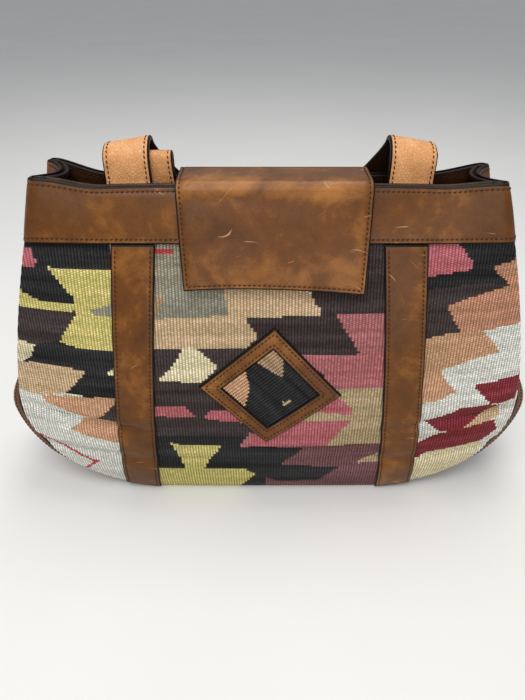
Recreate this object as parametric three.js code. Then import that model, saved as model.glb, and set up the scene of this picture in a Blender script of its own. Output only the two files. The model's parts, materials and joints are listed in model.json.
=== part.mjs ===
// A shoulder bag of kilim and leather: two woven panels joined by a leather gusset, a leather band
// round the mouth, sewn-on straps, a flap with a hidden magnetic snap, and two strap handles.
// Millimetres, +Z up, the front towards -Y, origin on the ground under the middle of the bag.
import * as THREE from 'three';
import { mergeVertices } from 'three/addons/utils/BufferGeometryUtils.js';

// Body outline, seen from the front
const RIM_HEIGHT = 255;
const RIM_HALF_WIDTH = 154;
const BELLY_HALF_WIDTH = 198;
const FOOT_HALF_WIDTH = 84;
const CORNER_RISE = 88;
const SIDE_TAPER_POWER = 1.4;

// Body depth, seen from the side
const FOOT_HALF_DEPTH = 48;
const RIM_HALF_DEPTH = 20;
const DEPTH_TAPER_POWER = 0.9;
const BELLY_SWELL = 20;
const SWELL_SAG_POWER = 0.75;
const MOUTH_PINCH = 11;
const MOUTH_PINCH_POWER = 6;
const SWELL_EDGE_POWER = 4;
const SIDE_FOLD = 14;
const SIDE_FOLD_POWER = 4;

// Sheet thicknesses, and the gap between neighbours
const KILIM = 2.5;
const LEATHER = 2;
const LINING = 1;
const GAP = 0.3;
const SEAM_GAP = 0.5;
const LINING_GAP = 0.7;

// Leather round the mouth
const BAND_HEIGHT = 34;
const FACING_HEIGHT = 40;

// Straps sewn down the panels
const STRAP_WIDTH = 30;
const STRAP_TOP_X = 92;
const STRAP_FOOT_X = 109;
const STRAP_FOOT_LIFT = 1;

// Diamond on the front panel
const DIAMOND_HALF_WIDTH = 53;
const DIAMOND_HALF_HEIGHT = 49;
const DIAMOND_X = 1;
const DIAMOND_Z = 117;
const DIAMOND_BORDER = 17;
const DIAMOND_TILT_DEG = -3.5;

// Flap and its snap
const FLAP_TOP_WIDTH = 131;
const FLAP_END_WIDTH = 123;
const FLAP_X = 3.2;
const FLAP_THICKNESS = 3;
const FLAP_DROP = 62.5;
const FLAP_LIFT = 1;
const FLAP_STANDOFF = 5.6;
const FLAP_FOLD_RADIUS = 6;
const FLAP_TAB_HEIGHT = 30;
const SNAP_RADIUS = 9;
const SNAP_DROP = 50;
const SNAP_SOCKET_THICKNESS = 2;
const SNAP_STUD_THICKNESS = 1.5;

// Handles: the front one hangs over the back of the bag, the back one is tucked into the mouth
const HANDLE_WIDTH = 31;
const HANDLE_THICKNESS = 3;
const HANDLE_TUCK = 22;
const FRONT_HANDLE = {
  side: -1, halfSpan: 94.5, shift: 0, rise: 11, bend: 12, turnDeg: 150, arch: 92, archPower: 1.4,
};
const BACK_HANDLE = {
  side: 1, halfSpan: 88, shift: 8, rise: 14, bend: 3, turnDeg: -180, arch: 100, archPower: 2,
};
const TWIST_START = 0.45;

// Mesh steps
const CORNER_ROWS = 6;
const SIDE_ROWS = 16;
const PANEL_COLUMNS = 32;
const GUSSET_COLUMNS = 8;
const STRAP_COLUMNS = 3;
const HANDLE_COLUMNS = 2;
const BEND_STEPS = 8;
const ARCH_STEPS = 28;
const SNAP_SIDES = 20;

const lerp = THREE.MathUtils.lerp;
const clamp = THREE.MathUtils.clamp;
const rad = THREE.MathUtils.degToRad;
const point = (x, y, z) => new THREE.Vector3(x, y, z);
const steps = (count) => Array.from({ length: count + 1 }, (_, i) => i / count);
const smooth = (t) => t * t * (3 - 2 * t);

const SEAM_LIFT = KILIM + SEAM_GAP;
const BAND_OUT = SEAM_LIFT + LEATHER;
const FLAP_END_Z = RIM_HEIGHT - FLAP_DROP;
const SNAP_Z = RIM_HEIGHT - SNAP_DROP;

// Half the body's width at a height, with the outline drawn in by inset
function halfWidth(z, inset = 0) {
  if (z < CORNER_RISE) {
    const drop = clamp((CORNER_RISE - z) / (CORNER_RISE - inset), 0, 1);
    return FOOT_HALF_WIDTH + (BELLY_HALF_WIDTH - inset - FOOT_HALF_WIDTH) * Math.sqrt(1 - drop * drop);
  }
  const t = Math.min(1, (z - CORNER_RISE) / (RIM_HEIGHT - CORNER_RISE));
  return lerp(BELLY_HALF_WIDTH, RIM_HALF_WIDTH, t ** SIDE_TAPER_POWER) - inset;
}

// Height of the body's lower edge at a distance from its middle
function lowerEdge(x) {
  const share = clamp((Math.abs(x) - FOOT_HALF_WIDTH) / (BELLY_HALF_WIDTH - FOOT_HALF_WIDTH), 0, 1);
  return CORNER_RISE * (1 - Math.sqrt(1 - share * share));
}

// Half the gusset's width at a height: where the panels' edges are
function seamDepth(z) {
  const t = Math.max(0, 1 - z / RIM_HEIGHT);
  return lerp(RIM_HALF_DEPTH, FOOT_HALF_DEPTH, t ** DEPTH_TAPER_POWER);
}

// Distance from the mid-plane to a panel's inner face, at s from -1 to 1 across it
function panelDepth(s, z) {
  const across = 1 - Math.min(1, Math.abs(s)) ** SWELL_EDGE_POWER;
  const height = clamp(z / RIM_HEIGHT, 0, 1);
  const belly = BELLY_SWELL * Math.sin(Math.PI * height ** SWELL_SAG_POWER);
  const pinch = MOUTH_PINCH * height ** MOUTH_PINCH_POWER;
  return seamDepth(z) + across * (belly - pinch);
}

// How far the gusset folds inwards at a height, at t from -1 to 1 across it
function sideFold(t, z) {
  return SIDE_FOLD * (z / RIM_HEIGHT) ** SIDE_FOLD_POWER * (1 - t * t);
}

// A closed solid between two grids of points. Rings close their columns; a cup has capped bottom rows.
function solidBetween(outer, inner, { ring = false, cup = false } = {}) {
  const rows = outer.length;
  const cols = outer[0].length;
  const positions = [];
  for (const grid of [outer, inner]) {
    for (const row of grid) {
      for (const p of row) positions.push(p.x, p.y, p.z);
    }
  }
  const at = (side, r, c) => side * rows * cols + r * cols + (c % cols);
  const index = [];
  const quad = (a, b, c, d) => index.push(a, b, c, a, c, d);
  const lastCol = ring ? cols : cols - 1;
  for (let r = 0; r < rows - 1; r++) {
    for (let c = 0; c < lastCol; c++) {
      quad(at(0, r, c), at(0, r, c + 1), at(0, r + 1, c + 1), at(0, r + 1, c));
      quad(at(1, r, c), at(1, r + 1, c), at(1, r + 1, c + 1), at(1, r, c + 1));
    }
    if (!ring) {
      quad(at(0, r, 0), at(0, r + 1, 0), at(1, r + 1, 0), at(1, r, 0));
      quad(at(0, r, cols - 1), at(1, r, cols - 1), at(1, r + 1, cols - 1), at(0, r + 1, cols - 1));
    }
  }
  for (let c = 0; c < lastCol; c++) {
    quad(at(0, rows - 1, c), at(0, rows - 1, c + 1), at(1, rows - 1, c + 1), at(1, rows - 1, c));
    if (!cup) quad(at(0, 0, c), at(1, 0, c), at(1, 0, c + 1), at(0, 0, c + 1));
  }
  if (cup) {
    for (const side of [0, 1]) {
      const middle = positions.length / 3;
      const foot = (side ? inner : outer)[0];
      const centre = foot.reduce((sum, p) => sum.add(p), point(0, 0, 0)).divideScalar(cols);
      positions.push(centre.x, centre.y, centre.z);
      for (let c = 0; c < cols; c++) {
        const [a, b] = side ? [at(1, 0, c), at(1, 0, c + 1)] : [at(0, 0, c + 1), at(0, 0, c)];
        index.push(a, b, middle);
      }
    }
  }
  return facingOut(positions, index);
}

// A geometry whose faces point out, whichever way the grids ran
function facingOut(positions, index) {
  const corner = (i) => point(...positions.slice(3 * i, 3 * i + 3));
  let volume = 0;
  for (let i = 0; i < index.length; i += 3) {
    const [a, b, c] = [corner(index[i]), corner(index[i + 1]), corner(index[i + 2])];
    volume += a.dot(b.cross(c));
  }
  if (volume < 0) {
    for (let i = 0; i < index.length; i += 3) [index[i + 1], index[i + 2]] = [index[i + 2], index[i + 1]];
  }
  const geometry = new THREE.BufferGeometry();
  geometry.setAttribute('position', new THREE.Float32BufferAttribute(positions, 3));
  geometry.setIndex(index);
  geometry.computeVertexNormals();
  return geometry;
}

const tanLeather = new THREE.MeshStandardMaterial({ color: 0x9a5e33, roughness: 0.45 });
const darkLeather = new THREE.MeshStandardMaterial({ color: 0x3a2114, roughness: 0.7 });
const kilim = new THREE.MeshStandardMaterial({ color: 0xa8917c, roughness: 0.95 });
const cotton = new THREE.MeshStandardMaterial({ color: 0x2c2622, roughness: 0.9 });
const nickel = new THREE.MeshStandardMaterial({ color: 0xb8b4ac, roughness: 0.3, metalness: 1 });

const bag = new THREE.Group();

function add(name, geometry, material) {
  const mesh = new THREE.Mesh(geometry, material);
  mesh.name = name;
  bag.add(mesh);
}

// Heights of the grid rows: even steps round the lower corner, then even steps up the side
function bodyRows(inset = 0) {
  const corner = steps(CORNER_ROWS).map((t) => {
    return inset + (CORNER_RISE - inset) * (1 - Math.cos((t * Math.PI) / 2));
  });
  const side = steps(SIDE_ROWS).slice(1).map((t) => lerp(CORNER_RISE, RIM_HEIGHT, t));
  return [...corner, ...side];
}

// The grid rows from one height to another, with a row at each end
function rowsBetween(low, high, inset = 0) {
  const between = bodyRows(inset).filter((z) => z > low + LEATHER && z < high - LEATHER);
  return [low, ...between, high];
}

function addPanel(name, side) {
  const face = (lift) => bodyRows().map((z) => steps(PANEL_COLUMNS).map((t) => {
    const s = side * (1 - 2 * t);
    return point(s * halfWidth(z), side * (panelDepth(s, z) + lift), z);
  }));
  add(name, solidBetween(face(KILIM), face(0)), kilim);
}

// One strip of leather down one side, under the bag and up the other side
function addGusset() {
  const strip = (inset) => {
    const right = bodyRows(inset).map((z) => ({ x: halfWidth(z, inset), z }));
    const left = right.map(({ x, z }) => ({ x: -x, z })).reverse();
    return [...left, ...right].map(({ x, z }) => steps(GUSSET_COLUMNS).map((t) => {
      const across = 2 * t - 1;
      const y = across * (panelDepth(x / halfWidth(z), z) - SEAM_GAP);
      return point(x - Math.sign(x) * sideFold(across, z), y, z);
    }));
  };
  add('gusset', solidBetween(strip(0), strip(LEATHER)), tanLeather);
}

// A level loop round the body: out from the panels by lift, and from the gusset by sideLift
function bodyLoop(z, lift, sideLift) {
  const halfX = halfWidth(z) + sideLift;
  const front = steps(PANEL_COLUMNS).map((t) => {
    const x = (2 * t - 1) * halfX;
    return point(x, -(panelDepth(x / halfWidth(z), z) + lift), z);
  });
  const sideY = panelDepth(halfX / halfWidth(z), z) + Math.min(0, lift) - GAP;
  const side = steps(GUSSET_COLUMNS).map((t) => {
    const across = 2 * t - 1;
    return point(halfX - sideFold(across, z), across * sideY, z);
  });
  const half = [...front, ...side];
  return [...half, ...half.map((p) => point(-p.x, -p.y, p.z))];
}

// A leather ring round the mouth, between two lifts from the body's sheets
function addMouthRing(name, height, lifts, sideLifts, material) {
  const rows = rowsBetween(RIM_HEIGHT - height, RIM_HEIGHT);
  const face = (i) => rows.map((z) => bodyLoop(z, lifts[i], sideLifts[i]));
  add(name, solidBetween(face(0), face(1), { ring: true }), material);
}

// The cloth bag inside, hung from the facing's lower edge
function addLining() {
  const top = RIM_HEIGHT - FACING_HEIGHT - GAP;
  const rows = (inset) => rowsBetween(LEATHER + inset, top, LEATHER + inset);
  const coarse = (inset) => rows(inset).filter((_, i, all) => i % 2 === 0 || i === all.length - 1);
  const face = (inset) => coarse(inset).map((z) => {
    const halfX = halfWidth(z, LEATHER + inset);
    const sideLift = halfX - halfWidth(z);
    return bodyLoop(z, -inset, sideLift);
  });
  add('lining', solidBetween(face(LINING_GAP), face(LINING_GAP + LINING), { ring: true, cup: true }), cotton);
}

function addStrap(name, side, hand) {
  const topZ = RIM_HEIGHT - BAND_HEIGHT - GAP;
  const face = (lift) => rowsBetween(0, topZ).map((level) => {
    const up = level / topZ;
    return steps(STRAP_COLUMNS).map((u) => {
      const x = hand * lerp(STRAP_FOOT_X, STRAP_TOP_X, up) + (u - 0.5) * STRAP_WIDTH;
      const z = lerp(lowerEdge(x) + STRAP_FOOT_LIFT, topZ, up);
      return point(x, side * (panelDepth(x / halfWidth(z), z) + lift), z);
    });
  });
  add(name, solidBetween(face(BAND_OUT), face(SEAM_LIFT)), tanLeather);
}

// A point of the front panel's diamond, at a share of its half-diagonals, lifted off the panel's inner face
function diamondPoint(across, up, lift) {
  const tilt = rad(DIAMOND_TILT_DEG);
  const x = DIAMOND_X + across * Math.cos(tilt) - up * Math.sin(tilt);
  const z = DIAMOND_Z + across * Math.sin(tilt) + up * Math.cos(tilt);
  return point(x, -(panelDepth(x / halfWidth(z), z) + lift), z);
}

// Points round a diamond with the given half-width, in even steps along its four sides
function diamondLoop(halfX, lift) {
  const halfZ = (halfX * DIAMOND_HALF_HEIGHT) / DIAMOND_HALF_WIDTH;
  const corners = [[halfX, 0], [0, halfZ], [-halfX, 0], [0, -halfZ]];
  const side = steps(4).slice(0, -1);
  return corners.flatMap(([x0, z0], i) => {
    const [x1, z1] = corners[(i + 1) % corners.length];
    return side.map((t) => diamondPoint(lerp(x0, x1, t), lerp(z0, z1, t), lift));
  });
}

function addDiamond() {
  const inside = DIAMOND_HALF_WIDTH - DIAMOND_BORDER;
  const border = (lift) => [diamondLoop(inside, lift), diamondLoop(DIAMOND_HALF_WIDTH, lift)];
  add('diamond_border', solidBetween(border(BAND_OUT), border(SEAM_LIFT), { ring: true }), tanLeather);
  const patchHalf = inside - GAP * 2;
  const patch = (lift) => [0.1, 0.4, 0.7, 1].map((share) => diamondLoop(patchHalf * share, lift));
  const [face, back] = [BAND_OUT - GAP * 2, SEAM_LIFT];
  add('diamond_patch', solidBetween(patch(face), patch(back), { ring: true, cup: true }), kilim);
}

// The flap's line from the hinge at the back, over the mouth and down the front, as {y, z}
const HINGE_Y = panelDepth(0, RIM_HEIGHT) + BAND_OUT + GAP + LEATHER / 2;
const HINGE_Z = RIM_HEIGHT + FLAP_LIFT + FLAP_THICKNESS / 2;

function flapFrontY(z) {
  const shareDown = (HINGE_Z - z) / (HINGE_Z - FLAP_END_Z);
  const standoff = lerp(BAND_OUT + 2 * GAP, KILIM + FLAP_STANDOFF, clamp(shareDown, 0, 1));
  return -(panelDepth(0, z) + standoff + FLAP_THICKNESS / 2);
}

function flapLine() {
  const foldZ = HINGE_Z - FLAP_FOLD_RADIUS;
  const foldY = flapFrontY(foldZ) + FLAP_FOLD_RADIUS;
  const over = steps(4).map((t) => ({ y: lerp(HINGE_Y, foldY, t), z: HINGE_Z, down: 0 }));
  const fold = steps(5).slice(1).map((t) => {
    const turn = (t * Math.PI) / 2;
    const y = foldY - FLAP_FOLD_RADIUS * Math.sin(turn);
    return { y, z: foldZ + FLAP_FOLD_RADIUS * Math.cos(turn), down: 0 };
  });
  const front = steps(10).slice(1).map((t) => {
    const z = lerp(foldZ, FLAP_END_Z, t);
    return { y: flapFrontY(z), z, down: t };
  });
  return [...over, ...fold, ...front];
}

// The line's outward normals, in the same order
function lineNormals(line) {
  return line.map((_, i) => {
    const before = line[Math.max(0, i - 1)];
    const after = line[Math.min(line.length - 1, i + 1)];
    const [dy, dz] = [after.y - before.y, after.z - before.z];
    const length = Math.hypot(dy, dz);
    return { y: dz / length, z: -dy / length };
  });
}

function addFlap() {
  const line = flapLine();
  const normals = lineNormals(line);
  const face = (lift) => line.map((p, i) => steps(8).map((u) => {
    const width = lerp(FLAP_TOP_WIDTH, FLAP_END_WIDTH, p.down);
    return point(FLAP_X + (u - 0.5) * width, p.y + lift * normals[i].y, p.z + lift * normals[i].z);
  }));
  add('flap', solidBetween(face(FLAP_THICKNESS / 2), face(-FLAP_THICKNESS / 2)), tanLeather);
}

// The flap's root, sewn to the outside of the band at the back
function addFlapTab() {
  const topZ = HINGE_Z - FLAP_THICKNESS / 2 - GAP;
  const face = (lift) => rowsBetween(RIM_HEIGHT - FLAP_TAB_HEIGHT, topZ).map((z) => {
    return steps(8).map((u) => {
      const x = FLAP_X + (u - 0.5) * FLAP_TOP_WIDTH;
      return point(x, panelDepth(x / halfWidth(z), z) + BAND_OUT + lift, z);
    });
  });
  add('flap_tab', solidBetween(face(GAP + LEATHER), face(GAP)), tanLeather);
}

// A disc of the magnetic snap, its back against a sheet at (y, z), its axis along that sheet's normal
function addSnapDisc(name, thickness, y, z, normal) {
  const outline = [[0, 0], [SNAP_RADIUS, 0], [SNAP_RADIUS, thickness], [0, thickness]];
  const disc = new THREE.LatheGeometry(outline.map(([r, h]) => new THREE.Vector2(r, h)), SNAP_SIDES);
  disc.deleteAttribute('normal');
  disc.deleteAttribute('uv');
  const closed = mergeVertices(disc);
  closed.computeVertexNormals();
  const mesh = new THREE.Mesh(closed, nickel);
  mesh.name = name;
  mesh.quaternion.setFromUnitVectors(point(0, 1, 0), normal);
  mesh.position.set(FLAP_X, y, z).addScaledVector(normal, GAP);
  bag.add(mesh);
}

function addSnap() {
  const slope = (panelDepth(0, SNAP_Z + 1) - panelDepth(0, SNAP_Z - 1)) / 2;
  const outward = point(0, -1, -slope).normalize();
  addSnapDisc('snap_socket', SNAP_SOCKET_THICKNESS, -(panelDepth(0, SNAP_Z) + KILIM), SNAP_Z, outward);
  const flapSlope = (flapFrontY(SNAP_Z + 1) - flapFrontY(SNAP_Z - 1)) / 2;
  const inward = point(0, 1, -flapSlope).normalize();
  const innerY = flapFrontY(SNAP_Z) + (FLAP_THICKNESS / 2) * Math.hypot(1, flapSlope);
  addSnapDisc('snap_stud', SNAP_STUD_THICKNESS, innerY, SNAP_Z, inward);
}

// Where a handle's leg stands at a height, its inner edge clear of the facing
function legY(handle, z) {
  const innerEdge = handle.halfSpan - Math.abs(handle.shift) - HANDLE_WIDTH / 2;
  const inside = panelDepth(innerEdge / halfWidth(z), z) - 2 * GAP - LEATHER - HANDLE_THICKNESS / 2;
  return handle.side * inside;
}

// The middle of a handle's bend: its leg turns over about this line
function bendCentre(handle) {
  const direction = Math.sign(handle.turnDeg);
  return { y: legY(handle, RIM_HEIGHT) + direction * handle.bend, z: RIM_HEIGHT + handle.rise };
}

// One cross-section of a strap: its middle, its outward normal and its width's direction
function section(middle, normal, width) {
  return { middle, normal, width };
}

// The sections of one leg, from its tucked foot, up out of the mouth and over the bend
function legSections(handle, hand) {
  const x = handle.shift + hand * handle.halfSpan;
  const direction = Math.sign(handle.turnDeg);
  const centre = bendCentre(handle);
  const outward = point(0, -direction, 0);
  const across = point(-hand, 0, 0);
  const tucked = steps(3).map((t) => {
    const z = lerp(RIM_HEIGHT - HANDLE_TUCK, RIM_HEIGHT, t);
    return section(point(x, legY(handle, z), z), outward, across);
  });
  const bend = steps(BEND_STEPS).map((t) => {
    const turn = t * rad(Math.abs(handle.turnDeg));
    const [y, z] = [-direction * Math.cos(turn), Math.sin(turn)];
    const middle = point(x, centre.y + handle.bend * y, centre.z + handle.bend * z);
    return section(middle, point(0, y, z), across);
  });
  return [...tucked, ...bend];
}

// The sections of the loop between the bends: an arch drawn upright, twisting to lie flat at its
// crown, and then turned over about the bend's middle
function archSections(handle) {
  const direction = Math.sign(handle.turnDeg);
  const centre = bendCentre(handle);
  const power = 2 / handle.archPower;
  const spot = (turn) => {
    const [c, s] = [Math.cos(turn), Math.sin(turn)];
    const x = -Math.sign(c) * Math.abs(c) ** power * handle.halfSpan;
    return point(handle.shift + x, -direction * handle.bend, GAP + Math.abs(s) ** power * handle.arch);
  };
  const over = new THREE.Matrix4().makeRotationX(-rad(handle.turnDeg));
  const placed = new THREE.Matrix4().makeTranslation(0, centre.y, centre.z).multiply(over);
  return steps(ARCH_STEPS).map((t) => {
    const turn = lerp(0, Math.PI, t);
    const nudge = 1e-3;
    const tangent = spot(Math.min(Math.PI, turn + nudge)).sub(spot(Math.max(0, turn - nudge))).normalize();
    const frontal = point(0, -direction, 0);
    const outward = point(-tangent.z, 0, tangent.x);
    const height = Math.sin(turn) ** power;
    const twist = (smooth(clamp((height - TWIST_START) / (1 - TWIST_START), 0, 1)) * Math.PI) / 2;
    const normal = frontal.multiplyScalar(Math.cos(twist)).addScaledVector(outward, Math.sin(twist));
    const width = tangent.clone().cross(normal).multiplyScalar(direction);
    return section(
      spot(turn).applyMatrix4(placed), normal.transformDirection(placed), width.transformDirection(placed));
  });
}

function strapSolid(sections) {
  const face = (lift) => sections.map(({ middle, normal, width }) => steps(HANDLE_COLUMNS).map((u) => {
    return middle.clone().addScaledVector(width, (u - 0.5) * HANDLE_WIDTH).addScaledVector(normal, lift);
  }));
  return solidBetween(face(HANDLE_THICKNESS / 2), face(-HANDLE_THICKNESS / 2));
}

// The front handle flexes at its two bends, so its ends and its loop are separate
function addFrontHandle() {
  add('front_handle_left_end', strapSolid(legSections(FRONT_HANDLE, -1)), tanLeather);
  add('front_handle_right_end', strapSolid(legSections(FRONT_HANDLE, 1)), tanLeather);
  add('front_handle_loop', strapSolid(archSections(FRONT_HANDLE)), tanLeather);
}

// The back handle rests tucked into the bag, in one piece
function addBackHandle() {
  const left = legSections(BACK_HANDLE, -1);
  const right = legSections(BACK_HANDLE, 1).reverse();
  const arch = archSections(BACK_HANDLE).slice(1, -1);
  add('back_handle', strapSolid([...left, ...arch, ...right]), tanLeather);
}

addPanel('front_panel', -1);
addPanel('back_panel', 1);
addGusset();
addMouthRing('top_band', BAND_HEIGHT, [BAND_OUT, SEAM_LIFT], [GAP + LEATHER, GAP], tanLeather);
const facingSide = LEATHER + LINING_GAP;
addMouthRing(
  'inner_facing', FACING_HEIGHT, [-GAP, -GAP - LEATHER], [-facingSide, -facingSide - LEATHER], darkLeather);
addLining();
for (const [face, side] of [['front', -1], ['back', 1]]) {
  addStrap(`${face}_left_strap`, side, -1);
  addStrap(`${face}_right_strap`, side, 1);
}
addDiamond();
addFlapTab();
addFlap();
addSnap();
addFrontHandle();
addBackHandle();

export default bag;
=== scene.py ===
"""A kilim and leather shoulder bag, dressed over its packed construction.

Two woven wool panels, a leather gusset, a band round the mouth, sewn straps, a diamond of leather round
a turned piece of weave, a snap flap and two strap handles. Sizes are in millimetres until a mesh is made.
"""
import json
import logging
import math
from dataclasses import dataclass
from enum import Enum
from typing import Any, Callable

import bpy
import numpy as np
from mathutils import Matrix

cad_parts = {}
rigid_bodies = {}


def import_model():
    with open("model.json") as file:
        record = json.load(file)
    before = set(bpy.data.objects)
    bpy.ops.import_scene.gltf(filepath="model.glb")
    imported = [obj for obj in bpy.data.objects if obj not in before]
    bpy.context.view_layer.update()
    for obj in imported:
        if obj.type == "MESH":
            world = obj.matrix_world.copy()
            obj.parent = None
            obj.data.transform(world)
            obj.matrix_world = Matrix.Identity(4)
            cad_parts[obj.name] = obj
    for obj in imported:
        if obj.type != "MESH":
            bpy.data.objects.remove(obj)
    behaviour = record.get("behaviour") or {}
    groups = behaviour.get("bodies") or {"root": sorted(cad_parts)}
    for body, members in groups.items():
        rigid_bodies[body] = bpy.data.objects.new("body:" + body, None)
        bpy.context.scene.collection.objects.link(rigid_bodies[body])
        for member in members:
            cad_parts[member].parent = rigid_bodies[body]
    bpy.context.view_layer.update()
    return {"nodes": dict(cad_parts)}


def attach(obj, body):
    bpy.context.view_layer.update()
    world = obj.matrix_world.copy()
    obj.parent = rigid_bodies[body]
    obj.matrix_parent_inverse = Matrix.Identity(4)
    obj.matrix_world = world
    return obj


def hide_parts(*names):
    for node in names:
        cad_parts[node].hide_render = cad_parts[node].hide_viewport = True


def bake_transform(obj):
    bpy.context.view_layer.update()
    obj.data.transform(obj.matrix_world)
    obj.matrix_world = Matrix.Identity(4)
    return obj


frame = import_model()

log = logging.getLogger("kilim_bag")
MM = 0.001
TINY = 1e-9
Array = np.ndarray
Span = tuple[float, float]
Socket = bpy.types.NodeSocket
Place = Callable[[Array, Array, Array], Array]
WearAndPaintedLight = Callable[[Array, Array], Array]


def linear(code: str) -> tuple[float, float, float, float]:
    """Turn an sRGB hex colour into linear light.

    Args:
        code: six hex digits, such as "b5596b".

    Returns:
        Linear red, green and blue, and an alpha of one.
    """
    parts = [int(code[i:i + 2], 16) / 255 for i in (0, 2, 4)]
    curve = [c / 12.92 if c <= 0.04045 else ((c + 0.055) / 1.055) ** 2.4 for c in parts]
    return (*curve, 1.0)


def shaded(colour: tuple[float, ...], share: float, lift: float = 0.0) -> tuple[float, ...]:
    """Return a linear colour scaled and lifted, at most white."""
    return (*(min(1.0, c * share + lift) for c in colour[:3]), 1.0)


def smooth_step(low: float, high: float, value: Array) -> Array:
    """Rise smoothly from 0 at low to 1 at high."""
    t = np.clip((value - low) / (high - low), 0.0, 1.0)
    return t * t * (3 - 2 * t)


def bell(offset: Array, width: float) -> Array:
    """Fall smoothly from 1 at no offset to almost 0 at twice the width."""
    return np.exp(-(offset / width) ** 2)


class Shader:
    """A new material and its node tree."""

    def __init__(self, name: str) -> None:
        """Make the material with an empty tree."""
        self.material = bpy.data.materials.new(name)
        self.material.use_nodes = True
        self.tree = self.material.node_tree
        self.tree.nodes.clear()

    def node(self, kind: str, inputs: dict[Any, Any] | None = None, **settings: Any) -> bpy.types.Node:
        """Add a node with its settings, values and links.

        Args:
            kind: the node's type without the leading "ShaderNode".
            inputs: a value for each input, or a socket to link to it.
            **settings: attributes of the node.

        Returns:
            The new node.
        """
        made = self.tree.nodes.new("ShaderNode" + kind)
        for key, value in settings.items():
            setattr(made, key, value)
        for key, value in (inputs or {}).items():
            if isinstance(value, bpy.types.NodeSocket):
                self.tree.links.new(value, made.inputs[key])
            else:
                made.inputs[key].default_value = value
        return made

    def maths(self, operation: str, *values: Any) -> Socket:
        """Return the result of an operation on numbers and sockets."""
        return self.node("Math", dict(enumerate(values)), operation=operation).outputs[0]

    def ranged(self, value: Socket, low: float = 0.0, high: float = 1.0, to_low: float = 0.0,
               to_high: float = 1.0, ease: str = "LINEAR") -> Socket:
        """Return a value moved from one range to another."""
        inputs = dict(enumerate((value, low, high, to_low, to_high)))
        return self.node("MapRange", inputs, interpolation_type=ease).outputs[0]

    def noise(self, spot: Socket, scale: float, detail: float, roughness: float = 0.5,
              distortion: float = 0.0) -> bpy.types.Node:
        """Return a noise node: its value is the first output and its colour the second."""
        return self.node("TexNoise", {"Vector": spot, "Scale": scale, "Detail": detail,
                                      "Roughness": roughness, "Distortion": distortion})

    def mixed(self, share: Socket, first: Any, second: Any) -> Socket:
        """Return a mix of two colours."""
        return self.node("Mix", {0: share, 6: first, 7: second}, data_type="RGBA").outputs[2]

    def bumped(self, strength: float, distance_mm: float, height: Socket, **under: Socket) -> Socket:
        """Return a normal tipped by a height, over another bump if one is given."""
        return self.node("Bump", {"Strength": strength, "Distance": distance_mm * MM,
                                  "Height": height, **under}).outputs[0]

    def close(self, inputs: dict[str, Any]) -> None:
        """Finish the tree with a Principled surface of these values and links."""
        surface = self.node("BsdfPrincipled", inputs)
        self.node("OutputMaterial", {"Surface": surface.outputs["BSDF"]})


class Finish:
    """A surface finish, whose material is made once."""

    name: str

    def dress(self, shader: Shader) -> None:
        """Build the finish's node tree."""
        raise NotImplementedError

    def material(self) -> bpy.types.Material:
        """Return the finish's material, made at the first call."""
        if self.name not in bpy.data.materials:
            self.dress(Shader(self.name))
        return bpy.data.materials[self.name]


class Dye(Enum):
    """The wool colours of the weave, as sRGB hex."""

    CHARCOAL = "0d0b0a"
    WALNUT = "3a2c28"
    CHARTREUSE = "dcce77"
    CREAM = "f2e0b4"
    OAT = "dcbb90"
    MINT = "f0ede0"
    PALE = "a09880"
    SAGE = "9b9682"
    SAGE_CREAM = "c4ab80"
    PEACH = "d8a57c"
    TAN = "b59470"
    SALMON = "c98e6c"
    ROSE = "bf7374"
    MADDER = "c67376"
    PINK = "c86b72"
    MAUVE = "7d4d4e"
    CRIMSON = "8a1c28"
    SCARLET = "c8404a"


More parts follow.
